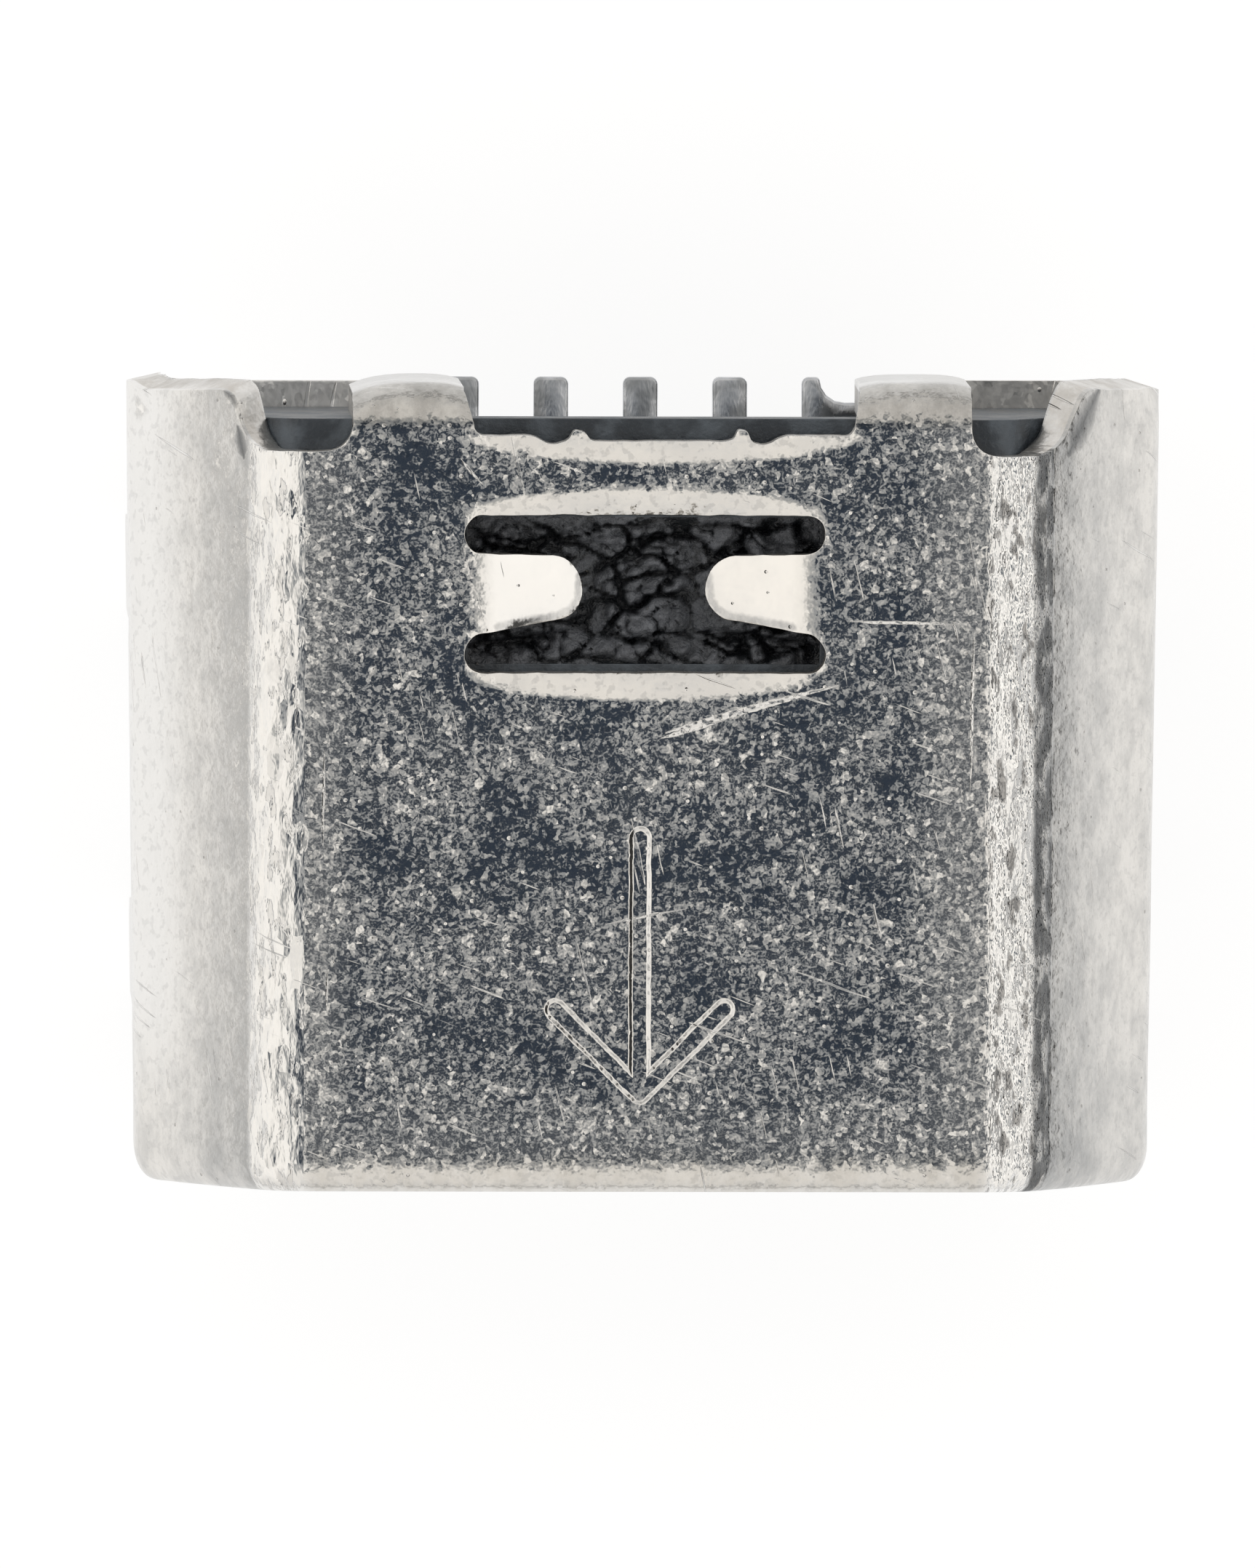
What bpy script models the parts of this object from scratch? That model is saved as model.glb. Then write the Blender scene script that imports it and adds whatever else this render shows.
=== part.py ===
"""A small five-contact charging socket (micro-B receptacle) that solders onto a circuit board.

Run it with: blender --background --python part.py, or from Blender's text editor.

The frame: the board's surface is z = 0, +Z points away from the board, the plug goes in along +Y through
the mouth at -Y, and the contact tails leave at +Y. The origin is on the board, in the middle of the shell.

The shell is made as the real one is: a flat blank is punched, then every point of it is folded into place.
So a window, a leg or an ear is drawn once on the flat blank, and a few bend values fold it. Each contact is
made the same way from its own flat strip. Sizes are in millimetres, and finish() turns a mesh into metres.
"""

import math

import bmesh
import bpy
from mathutils import Matrix, Vector

MILLIMETRE = 0.001

# The shell's section, seen from the mouth: a wide flat foot on the board, upright sides, slopes, and a
# narrower top. Widths and heights are those of the outer face, up to the corners before they are bent round.
# A bend's value is the radius inside it. The sides come a little closer together towards the mouth. The
# length is that of the whole shell, over the ears. The side walls and the foot end a little short of that.
SHEET = 0.25
SHELL_HEIGHT = 2.40
REAR_WIDTH = 7.50
MOUTH_WIDTH = 7.35
TOP_WIDTH = 5.48
KNEE_HEIGHT = 1.10
TOP_BEND = 0.23
KNEE_BEND = 0.25
FOOT_BEND = 0.25
SHELL_LENGTH = 5.85
SIDE_SETBACK = 0.07

# The mouth: the outer edge is rounded off to a thin lip, and the inner edge has a small lead-in for the plug.
MOUTH_ROUND_LENGTH = 0.26
MOUTH_LIP = 0.05
MOUTH_LEAD_IN = 0.03

# The window in the top, with a spring tongue bent down from each end to lock the insulator.
WINDOW_FROM_REAR = 1.525
WINDOW_LENGTH = 2.60
WINDOW_WIDTH = 1.14
WINDOW_SLOT = 0.27
TONGUE_LENGTH = 0.86
TONGUE_TIP_ROUND = 0.20
TONGUE_BEND = 0.30
TONGUE_ANGLE = math.radians(27)

# Edges that are pressed down, along the window and between the ears.
PRESSED_DROP = 0.12
PRESSED_REACH = 0.20

# The rear of the top: two ears folded down behind the insulator, the edge of a locking tab between them, and
# a relief notch outside each. They sit a little to the right of the middle.
REAR_SHIFT = 0.10
EAR_WIDTH = 0.79
EAR_SPACING = 3.67
EAR_BEND = 0.08
EAR_HEIGHT = 1.65
EAR_CORNER = 0.12
EAR_GAP = 0.02
TAB_FROM_REAR = 0.385
NOTCH_DEPTH = 0.51
NOTCH_WIDTH = 0.84
NOTCH_ROUND = 0.24
LOCK_TAB_WIDTH = 1.52
LOCK_TAB_RELIEF = 0.07

# The underside: the seam with its dovetail, windows for the plug's latches, and the cut-out for the tails.
SEAM_OFFSET = 0.40
SEAM_GAP = 0.03
DOVETAIL_REACH = 0.34
DOVETAIL_ROOT = 0.62
DOVETAIL_HEAD = 0.90
DOVETAIL_FROM_MOUTH = 0.95
LATCH_SPACING = 3.90
LATCH_WIDTH = 0.75
LATCH_LENGTH = 1.10
LATCH_FROM_MOUTH = 1.30
LATCH_ROUND = 0.12
TAIL_CUT_MARGIN = 0.48
TAIL_CUT_DEPTH = 0.90
TAIL_CUT_ROUND = 0.15

# The legs: the side walls run straight on through the board, between slits that free them from the foot.
LEG_WIDTH = 0.70
LEG_BELOW_BOARD = 0.85
LEG_TAPER = 0.15
LEG_SLIT = 0.12
LEG_RELIEF = 0.10
FRONT_LEG_FROM_MOUTH = 1.60
REAR_LEG_FROM_REAR = 1.45

# The moulded insulator: a base that fills the rear of the shell, with its rear face stepped back over the
# tails, a foot that reaches the board, and a carrier for the contacts' blades that reaches towards the mouth.
FIT_GAP = 0.03
BASE_LENGTH = 1.86
BASE_CHAMFER = 0.10
INSULATOR_ABOVE_BOARD = 0.02
RECESS_MARGIN = 0.07
REAR_STEP = 0.12
REAR_STEP_HEIGHT = 1.70
POCKET_MARGIN = 0.05
CARRIER_FROM_MOUTH = 0.85
CARRIER_MARGIN = 0.35
CARRIER_THICKNESS = 0.60
CARRIER_BELOW_TOP = 0.40
CARRIER_CHAMFER = 0.12

# The five contacts.
CONTACT_NAMES = ("power_contact", "data_minus_contact", "data_plus_contact", "id_contact", "ground_contact")
CONTACT_PITCH = 0.65
CONTACT_STOCK = 0.15
CONTACT_PROUD = 0.02
CONTACT_GAP = 0.015
CONTACT_BEND = 0.10
BLADE_WIDTH = 0.40
BLADE_TIP_SETBACK = 0.16
BLADE_TIP_LENGTH = 0.12
BLADE_TIP_BEND = 0.15
BLADE_TIP_ANGLE = math.radians(35)
NECK_FROM_BASE = 0.45
TAIL_WIDTH = 0.25
TAIL_LENGTH = 0.33
TAIL_CORNER = 0.03
DROP_FROM_REAR = 0.30
GROUND_FOOT_REACH = 0.45
GROUND_FOOT_WIDTH = 0.13

# How finely round shapes are divided, and what counts as one point or one flat face.
TOP_STEPS, KNEE_STEPS, FOOT_STEPS = 4, 3, 5
FOLD_STEPS = 4
CORNER_STEPS = 4
PUNCH_CLEAR = 0.20
SAME_POINT = 1e-5
FLAT_ANGLE = math.radians(0.3)
SMOOTH_ANGLE = math.radians(30)
QUARTER = math.pi / 2

MOUTH_Y = -SHELL_LENGTH / 2
REAR_Y = SHELL_LENGTH / 2
SIDE_REAR = REAR_Y - SIDE_SETBACK
TAB_EDGE = REAR_Y - TAB_FROM_REAR
BASE_REAR = REAR_Y - SHEET - EAR_GAP
BASE_FRONT = BASE_REAR - BASE_LENGTH
TAIL_FACE = BASE_REAR - REAR_STEP
WINDOW_Y = REAR_Y - WINDOW_FROM_REAR
LEG_CENTRES = (MOUTH_Y + FRONT_LEG_FROM_MOUTH, REAR_Y - REAR_LEG_FROM_REAR)


def section_runs():
    """The right half of the section from the top centre to the bottom centre, as (length, turn) runs."""
    corners = [
        Vector((0.0, SHELL_HEIGHT)),
        Vector((TOP_WIDTH / 2, SHELL_HEIGHT)),
        Vector((REAR_WIDTH / 2, KNEE_HEIGHT)),
        Vector((REAR_WIDTH / 2, 0.0)),
        Vector((0.0, 0.0)),
    ]
    runs = []
    taken = 0.0
    bends = (TOP_BEND, KNEE_BEND, FOOT_BEND)
    for before, corner, after, inside in zip(corners, corners[1:], corners[2:], bends):
        radius = inside + SHEET
        turn = (corner - before).angle(after - corner)
        tangent = radius * math.tan(turn / 2)
        runs += [((corner - before).length - taken - tangent, 0.0), (radius * turn, turn)]
        taken = tangent
    runs.append((REAR_WIDTH / 2 - taken, 0.0))
    return runs


def follow(runs, start, heading, distance, depth):
    """Walks along straights and bends, then steps to the right by depth. A positive turn is clockwise."""
    across, up = start
    for number, (length, turn) in enumerate(runs):
        last = number == len(runs) - 1
        step = distance if last else min(distance, length)
        if turn:
            radius = length / turn
            across += radius * (math.sin(heading + step / radius) - math.sin(heading))
            up += radius * (math.cos(heading + step / radius) - math.cos(heading))
            heading += step / radius
        else:
            across += step * math.cos(heading)
            up -= step * math.sin(heading)
        distance -= step
        if distance <= 0:
            break
    return across - depth * math.sin(heading), up - depth * math.cos(heading)


def run_ends(runs):
    """The distances at which the runs start, and the end of the last one."""
    ends = [0.0]
    for length, _ in runs:
        ends.append(ends[-1] + length)
    return ends


SECTION = section_runs()
TOP_END, SLOPE_START, SLOPE_END, SIDE_START, SIDE_END, FOOT_START, FOOT_CENTRE = run_ends(SECTION)[1:]
EAR_ARC = (EAR_BEND + SHEET) * QUARTER
EAR_RUNS = [(EAR_ARC, QUARTER), (EAR_HEIGHT - EAR_BEND - SHEET, 0.0)]
EAR_START = REAR_Y - EAR_BEND - SHEET
EAR_END = EAR_START + run_ends(EAR_RUNS)[-1]
REAR_GAP_HALF = (EAR_SPACING - EAR_WIDTH) / 2
TONGUE_ROOT = WINDOW_LENGTH / 2
TONGUE_TIP = TONGUE_ROOT - TONGUE_LENGTH
TONGUE_HALF = WINDOW_WIDTH / 2 - WINDOW_SLOT
TONGUE_ARC = (TONGUE_BEND + SHEET) * TONGUE_ANGLE
TONGUE_RUNS = [(TONGUE_ARC, TONGUE_ANGLE), (TONGUE_LENGTH - TONGUE_ARC, 0.0)]
LEG_END = SIDE_END + FOOT_BEND + SHEET + LEG_BELOW_BOARD


def tapered(x, along):
    """Brings a side in towards the mouth. The top is as wide there as at the rear."""
    beside_top = max(0.0, abs(x) - TOP_WIDTH / 2)
    share = (REAR_Y - min(along, REAR_Y)) / SHELL_LENGTH
    moved = (REAR_WIDTH - MOUTH_WIDTH) / 2 * share * beside_top / ((REAR_WIDTH - TOP_WIDTH) / 2)
    return x - math.copysign(moved, x)


def on_section(around, along, inward):
    """The point this far around the outer face from the top centre, this deep in the sheet."""
    x, z = follow(SECTION, (0.0, SHELL_HEIGHT), 0.0, abs(around), inward)
    return Vector((x * math.copysign(1.0, around), along, z))


def pressed(distance, across, half_length):
    """How far the sheet is pressed down, at this distance from a pressed edge and from its middle."""
    share = 1 - (across / half_length) ** 2
    if share <= 0:
        return 0.0
    reach = PRESSED_REACH * math.sqrt(share)
    return PRESSED_DROP * share * max(0.0, 1 - distance / reach) ** 2


def folded_top(around, along, inward):
    """The top: ears at the rear, tongues in the window, and the pressed edges."""
    if along > EAR_START:
        y, z = follow(EAR_RUNS, (EAR_START, SHELL_HEIGHT), 0.0, along - EAR_START, inward)
        return Vector((around, y, z))
    from_window = abs(along - WINDOW_Y)
    if abs(around) < TONGUE_ROOT and from_window < (WINDOW_WIDTH - WINDOW_SLOT) / 2:
        x, z = follow(TONGUE_RUNS, (0.0, SHELL_HEIGHT), 0.0, TONGUE_ROOT - abs(around), inward)
        return Vector((math.copysign(TONGUE_ROOT - x, around), along, z))
    drop = pressed(max(from_window - WINDOW_WIDTH / 2, 0.0), around, TONGUE_ROOT)
    drop += pressed(max(TAB_EDGE - along, 0.0), around - REAR_SHIFT, REAR_GAP_HALF)
    return Vector((around, along, SHELL_HEIGHT - inward - drop))


def on_leg(around, along):
    beside = min(abs(along - centre) for centre in LEG_CENTRES)
    return SIDE_END < abs(around) < LEG_END + LEG_SLIT / 2 and beside < (LEG_WIDTH + LEG_SLIT) / 2


def mouth_depth(from_mouth, inward):
    """The depth in the sheet, squeezed by the round outer edge and the lead-in at the mouth."""
    short = 1 - from_mouth / MOUTH_ROUND_LENGTH
    outer = (SHEET - MOUTH_LIP - MOUTH_LEAD_IN) * (1 - math.sqrt(1 - short**2))
    inner = SHEET - max(0.0, MOUTH_LEAD_IN - from_mouth)
    return outer + (inner - outer) * inward / SHEET


def folded(blank_point):
    """Where a point of the flat blank goes: x is the way around, y the depth, z the way into the sheet."""
    around, along, inward = blank_point
    from_mouth = along - MOUTH_Y
    if from_mouth < MOUTH_ROUND_LENGTH:
        inward = mouth_depth(max(from_mouth, 0.0), inward)
    if abs(around) < TOP_END + SAME_POINT:
        point = folded_top(around, along, inward)
    elif on_leg(around, along):
        leg_z = FOOT_BEND + SHEET - (abs(around) - SIDE_END)
        point = Vector((math.copysign(REAR_WIDTH / 2 - inward, around), along, leg_z))
    else:
        point = on_section(around, along, inward)
    point.x = tapered(point.x, point.y)
    return point


def arc(centre, radius, start, end):
    """Points on an arc, both ends included. Angles are in quarter turns from +x."""
    turns = spaced(start, end, CORNER_STEPS)
    return [
        (centre[0] + radius * math.cos(QUARTER * turn), centre[1] + radius * math.sin(QUARTER * turn))
        for turn in turns
    ]


def spaced(start, end, steps):
    return [start + (end - start) * step / steps for step in range(steps + 1)]


def window_outline():
    """The window as punched: a slot along each long side, joined between the tips of the two tongues."""
    slot_round = WINDOW_SLOT / 2
    slot_end = (TONGUE_ROOT - slot_round, WINDOW_WIDTH / 2 - slot_round)
    corner = min(TONGUE_TIP_ROUND, TONGUE_HALF)
    quarter = arc(slot_end, slot_round, 1, 0) + arc(slot_end, slot_round, 0, -1)[1:]
    quarter += arc((TONGUE_TIP + corner, TONGUE_HALF - corner), corner, 1, 2)
    right = quarter + [(x, -y) for x, y in reversed(quarter)]
    outline = right + [(-x, y) for x, y in reversed(right)]
    return [(x, WINDOW_Y + y) for x, y in outline]


def rear_scrap_outline():
    """What is cut away between the ears, with a small relief on each side of the locking tab."""
    left, right = REAR_SHIFT - REAR_GAP_HALF, REAR_SHIFT + REAR_GAP_HALF
    beyond = EAR_END + PUNCH_CLEAR
    points = [(left, beyond)] + arc((left + EAR_CORNER, TAB_EDGE + EAR_CORNER), EAR_CORNER, 2, 3)
    for side in (-1, 1):
        points += arc((REAR_SHIFT + side * LOCK_TAB_WIDTH / 2, TAB_EDGE), LOCK_TAB_RELIEF, 2, 4)
    points += arc((right - EAR_CORNER, TAB_EDGE + EAR_CORNER), EAR_CORNER, 3, 4)
    return points + [(right, beyond)]


def side_scrap_outline(side, blank_end):
    """What is cut away outside an ear: the relief notch, and everything behind the side wall."""
    ear = REAR_SHIFT + side * (EAR_SPACING + EAR_WIDTH) / 2
    outer = ear + side * NOTCH_WIDTH
    round_y = REAR_Y - NOTCH_DEPTH + NOTCH_ROUND
    beyond = EAR_END + PUNCH_CLEAR
    inner_turn, outer_turn = ((2, 3), (3, 4)) if side > 0 else ((4, 3), (3, 2))
    points = [(ear, beyond)] + arc((ear + side * NOTCH_ROUND, round_y), NOTCH_ROUND, *inner_turn)
    points += arc((outer - side * NOTCH_ROUND, round_y), NOTCH_ROUND, *outer_turn)
    past_end = blank_end + side * PUNCH_CLEAR
    return points + [(outer, SIDE_REAR), (past_end, SIDE_REAR), (past_end, beyond)]


def around_foot(x):
    """The way around the blank to a point of the foot at this x, on the half of the blank on that side."""
    return math.copysign(FOOT_CENTRE - abs(x), x)


def latch_outline(side):
    """A window with round corners for one of the plug's latches."""
    centre = (around_foot(side * LATCH_SPACING / 2), MOUTH_Y + LATCH_FROM_MOUTH + LATCH_LENGTH / 2)
    x, y = LATCH_WIDTH / 2 - LATCH_ROUND, LATCH_LENGTH / 2 - LATCH_ROUND
    points = []
    for quarter, (right, up) in enumerate(((1, 1), (-1, 1), (-1, -1), (1, -1))):
        points += arc((centre[0] + right * x, centre[1] + up * y), LATCH_ROUND, quarter, quarter + 1)
    return points


def leg_slit_outline(side, centre):
    """The slit that is punched round a leg, so that only its root still joins the side wall."""
    half = LEG_WIDTH / 2
    root = SIDE_END - LEG_RELIEF
    leg = [(root, half), (LEG_END - LEG_TAPER, half), (LEG_END, half - LEG_TAPER)]
    around_leg = [(LEG_END + LEG_SLIT, half + LEG_SLIT), (root, half + LEG_SLIT)]
    points = leg + [(reach, -beside) for reach, beside in reversed(leg)]
    points += [(reach, -beside) for reach, beside in reversed(around_leg)] + around_leg
    return [(side * reach, centre + beside) for reach, beside in points]


def tail_cut_half():
    return CONTACT_PITCH * (len(CONTACT_NAMES) - 1) / 2 + TAIL_WIDTH / 2 + TAIL_CUT_MARGIN


def tail_cut_outline(side, blank_end):
    """Half of the cut-out in the rear of the foot that lets the tails down to the board."""
    edge = around_foot(side * tail_cut_half())
    front = REAR_Y - TAIL_CUT_DEPTH
    past_end = blank_end + side * PUNCH_CLEAR
    turn = (2, 3) if side > 0 else (4, 3)
    points = arc((edge + side * TAIL_CUT_ROUND, front + TAIL_CUT_ROUND), TAIL_CUT_ROUND, *turn)
    return [(edge, REAR_Y + PUNCH_CLEAR)] + points + [(past_end, front), (past_end, REAR_Y + PUNCH_CLEAR)]


def dovetail(grow):
    """Half of a dovetail's outline from its root to its head, made larger all round by grow."""
    return [(0.0, DOVETAIL_ROOT / 2 + grow), (DOVETAIL_REACH + grow, DOVETAIL_HEAD / 2 + grow)]


def seam_outlines(left_end, right_end):
    """What is cut off the blank's two ends: around the dovetail on the left, and its socket on the right."""
    middle = MOUTH_Y + DOVETAIL_FROM_MOUTH
    past_left = left_end - DOVETAIL_REACH - PUNCH_CLEAR
    outlines = []
    for way, limit in ((-1, MOUTH_Y - PUNCH_CLEAR), (1, REAR_Y + PUNCH_CLEAR)):
        tab = [(left_end - reach, middle + way * beside) for reach, beside in dovetail(0.0)]
        outlines.append([(left_end, limit)] + tab + [(past_left, tab[-1][1]), (past_left, limit)])
    socket = [(right_end + SEAM_GAP - reach, beside) for reach, beside in dovetail(SEAM_GAP)]
    socket.insert(0, (right_end + PUNCH_CLEAR, socket[0][1]))
    socket += [(x, -beside) for x, beside in reversed(socket)]
    outlines.append([(x, middle + beside) for x, beside in socket])
    return outlines


def bend_lines_around():
    """Where the blank is creased across its width, so that each bend gets its facets."""
    right = spaced(TOP_END, SLOPE_START, TOP_STEPS) + spaced(SLOPE_END, SIDE_START, KNEE_STEPS)
    right += spaced(SIDE_END, FOOT_START, FOOT_STEPS)
    right += spaced(TONGUE_ROOT, TONGUE_ROOT - TONGUE_ARC, FOLD_STEPS)
    right += spaced(TONGUE_TIP, 0.0, FOLD_STEPS)
    return sorted(set(right + [-line for line in right]))


def bend_lines_along():
    """Where the blank is creased along its depth."""
    turns = spaced(0.0, QUARTER, FOLD_STEPS)[1:]
    lines = [MOUTH_Y + MOUTH_ROUND_LENGTH * (1 - math.cos(turn)) for turn in turns]
    lines.append(MOUTH_Y + MOUTH_LEAD_IN)
    for side in (-1, 1):
        edge = WINDOW_Y + side * WINDOW_WIDTH / 2
        lines += spaced(edge, edge + side * PRESSED_REACH, FOLD_STEPS)
    lines += spaced(TAB_EDGE - PRESSED_REACH, TAB_EDGE, FOLD_STEPS)
    lines += spaced(EAR_START, EAR_START + EAR_ARC, FOLD_STEPS)
    return sorted(set(lines))


def crease(sheet, normal, lines):
    """Divides flat faces where they will be bent."""
    for line in lines:
        geometry = sheet.verts[:] + sheet.edges[:] + sheet.faces[:]
        place = Vector(normal) * line
        bmesh.ops.bisect_plane(sheet, geom=geometry, dist=SAME_POINT, plane_co=place, plane_no=normal)


def thicken(sheet, thickness):
    """Turns flat faces at one height into closed slabs."""
    made = bmesh.ops.extrude_face_region(sheet, geom=sheet.faces[:])
    moved = [item for item in made["geom"] if isinstance(item, bmesh.types.BMVert)]
    bmesh.ops.translate(sheet, verts=moved, vec=(0.0, 0.0, thickness))
    bmesh.ops.recalc_face_normals(sheet, faces=sheet.faces[:])


def outline_face(outline, height):
    sheet = bmesh.new()
    sheet.faces.new([sheet.verts.new((x, y, height)) for x, y in outline])
    return sheet


def to_object(solid, name):
    mesh = bpy.data.meshes.new(name)
    solid.to_mesh(mesh)
    solid.free()
    made = bpy.data.objects.new(name, mesh)
    bpy.context.scene.collection.objects.link(made)
    return made


def combine(body, tool, operation):
    """Runs one exact Boolean and takes its result as the body's mesh. The tool is used up."""
    change = body.modifiers.new(operation, "BOOLEAN")
    change.operation = operation
    change.solver = "EXACT"
    change.object = tool
    bpy.context.view_layer.update()
    result = bpy.data.meshes.new_from_object(body.evaluated_get(bpy.context.evaluated_depsgraph_get()))
    body.modifiers.clear()
    body.data = result
    bpy.data.objects.remove(tool)


def finish(made, material, place=None):
    """Moves every point by place, turns millimetres into metres, and sets the normals and the material."""
    solid = bmesh.new()
    solid.from_mesh(made.data)
    if place:
        for point in solid.verts:
            point.co = place(point.co)
    bmesh.ops.remove_doubles(solid, verts=solid.verts[:], dist=SAME_POINT)
    bmesh.ops.dissolve_limit(solid, angle_limit=FLAT_ANGLE, verts=solid.verts[:], edges=solid.edges[:])
    bmesh.ops.triangulate(solid, faces=solid.faces[:])
    bmesh.ops.recalc_face_normals(solid, faces=solid.faces[:])
    solid.transform(Matrix.Scale(MILLIMETRE, 4))
    solid.to_mesh(made.data)
    solid.free()
    made.data.shade_smooth()
    made.data.set_sharp_from_angle(angle=SMOOTH_ANGLE)
    made.data.materials.clear()
    made.data.materials.append(material)


def make_shell(material):
    """The folded sheet-metal shell."""
    left_end = -(FOOT_CENTRE - SEAM_OFFSET) + SEAM_GAP / 2
    right_end = FOOT_CENTRE + SEAM_OFFSET - SEAM_GAP / 2
    tab_end = left_end - DOVETAIL_REACH
    corners = [(tab_end, MOUTH_Y), (right_end, MOUTH_Y), (right_end, EAR_END), (tab_end, EAR_END)]
    blank = outline_face(corners, 0.0)
    crease(blank, (1.0, 0.0, 0.0), bend_lines_around())
    crease(blank, (0.0, 1.0, 0.0), bend_lines_along())
    thicken(blank, SHEET)
    shell = to_object(blank, "shell")
    outlines = [window_outline(), rear_scrap_outline()] + seam_outlines(left_end, right_end)
    for side, blank_end in ((-1, tab_end), (1, right_end)):
        outlines += [side_scrap_outline(side, blank_end), tail_cut_outline(side, blank_end)]
        outlines.append(latch_outline(side))
        outlines += [leg_slit_outline(side, centre) for centre in LEG_CENTRES]
    for outline in outlines:
        punch = outline_face(outline, -PUNCH_CLEAR)
        thicken(punch, SHEET + 2 * PUNCH_CLEAR)
        combine(shell, to_object(punch, "punch"), "DIFFERENCE")
    finish(shell, material, folded)


def box(low, high):
    solid = bmesh.new()
    bmesh.ops.create_cube(solid, size=1.0)
    place = Matrix.LocRotScale((Vector(low) + Vector(high)) / 2, None, Vector(high) - Vector(low))
    bmesh.ops.transform(solid, matrix=place, verts=solid.verts[:])
    return solid


def chamfer(solid, width, chosen):
    """Chamfers the edges whose two ends both pass the test."""
    edges = [edge for edge in solid.edges if all(chosen(point.co) for point in edge.verts)]
    bmesh.ops.bevel(solid, geom=edges, offset=width, segments=1, profile=0.5, affect="EDGES")


def base_block():
    """The insulator's base, lofted from loops that follow the inside of the shell."""
    steps = [line for line in bend_lines_around() if TOP_END <= line <= FOOT_START]
    solid = bmesh.new()
    loops = []
    for along, inset in ((BASE_FRONT, BASE_CHAMFER), (BASE_FRONT + BASE_CHAMFER, 0.0), (BASE_REAR, 0.0)):
        right = [on_section(around, along, SHEET + FIT_GAP + inset) for around in steps]
        for point in right:
            point.x = tapered(point.x, along)
        left = [Vector((-point.x, point.y, point.z)) for point in reversed(right)]
        loops.append([solid.verts.new(point) for point in right + left])
    for first, second in zip(loops, loops[1:]):
        for number, point in enumerate(first):
            after = (number + 1) % len(first)
            solid.faces.new((point, first[after], second[after], second[number]))
    solid.faces.new(loops[0])
    solid.faces.new(loops[-1])
    bmesh.ops.recalc_face_normals(solid, faces=solid.faces[:])
    return solid


CARRIER_TIP = MOUTH_Y + CARRIER_FROM_MOUTH
CARRIER_HIGH = SHELL_HEIGHT - SHEET - CARRIER_BELOW_TOP
CARRIER_LOW = CARRIER_HIGH - CARRIER_THICKNESS
CARRIER_HALF = CONTACT_PITCH * (len(CONTACT_NAMES) - 1) / 2 + BLADE_WIDTH / 2 + CARRIER_MARGIN


def insulator_pieces():
    """The foot and the blade carrier, which join the base."""
    foot_half = tail_cut_half() - FIT_GAP
    foot_front = REAR_Y - TAIL_CUT_DEPTH + FIT_GAP
    foot = box((-foot_half, foot_front, INSULATOR_ABOVE_BOARD), (foot_half, BASE_REAR, CARRIER_LOW))
    chamfer(foot, TAIL_CUT_ROUND, lambda point: point.y < foot_front + SAME_POINT)
    behind_chamfer = BASE_FRONT + 2 * BASE_CHAMFER
    carrier = box((-CARRIER_HALF, CARRIER_TIP, CARRIER_LOW), (CARRIER_HALF, behind_chamfer, CARRIER_HIGH))
    chamfer(carrier, CARRIER_CHAMFER, lambda point: point.y < CARRIER_TIP + SAME_POINT)
    return [to_object(foot, "foot"), to_object(carrier, "blade_carrier")]


def insulator_cuts():
    """The recess that clears the shell's pressed edges, the step over the tails, and the tongues' pockets."""
    recess_floor = SHELL_HEIGHT - SHEET - PRESSED_DROP - FIT_GAP
    recess_half = max(TONGUE_ROOT, REAR_SHIFT + REAR_GAP_HALF) + RECESS_MARGIN
    front, rear = BASE_FRONT - PUNCH_CLEAR, BASE_REAR + PUNCH_CLEAR
    recess = box((-recess_half, front, recess_floor), (recess_half, rear, SHELL_HEIGHT))
    step_half = tail_cut_half()
    step = box((-step_half, TAIL_FACE, -PUNCH_CLEAR), (step_half, rear, REAR_STEP_HEIGHT))
    cuts = [to_object(recess, "recess"), to_object(step, "rear_step")]
    _, tip_z = follow(TONGUE_RUNS, (0.0, SHELL_HEIGHT), 0.0, TONGUE_LENGTH, SHEET)
    pocket_half = TONGUE_HALF + POCKET_MARGIN
    pocket_ends = (TONGUE_TIP - SHEET, TONGUE_ROOT + POCKET_MARGIN)
    for side in (-1, 1):
        low_x, high_x = sorted(side * end for end in pocket_ends)
        low = (low_x, WINDOW_Y - pocket_half, tip_z - POCKET_MARGIN)
        cuts.append(to_object(box(low, (high_x, WINDOW_Y + pocket_half, SHELL_HEIGHT)), "lock_pocket"))
    return cuts


def contact_runs():
    """A contact's way along its upper face, from its blade's tip to its tail's end, and its start."""
    blade_z = CARRIER_LOW - CONTACT_PROUD + CONTACT_STOCK
    wide, tight = CONTACT_BEND + CONTACT_STOCK, CONTACT_BEND
    drop_y = BASE_REAR - DROP_FROM_REAR
    tip_y = CARRIER_TIP + BLADE_TIP_SETBACK
    rise, reach = math.sin(BLADE_TIP_ANGLE), math.cos(BLADE_TIP_ANGLE)
    tip_z = blade_z + BLADE_TIP_LENGTH * rise + BLADE_TIP_BEND * (1 - reach)
    bend_end = tip_y + BLADE_TIP_LENGTH * reach + BLADE_TIP_BEND * rise
    runs = [
        (BLADE_TIP_LENGTH, 0.0),
        (BLADE_TIP_BEND * BLADE_TIP_ANGLE, -BLADE_TIP_ANGLE),
        (drop_y - wide - bend_end, 0.0),
        (wide * QUARTER, QUARTER),
        (blade_z - CONTACT_STOCK - wide - tight, 0.0),
        (tight * QUARTER, -QUARTER),
        (TAIL_FACE + TAIL_LENGTH - drop_y - tight, 0.0),
    ]
    return runs, (tip_y, tip_z)


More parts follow.
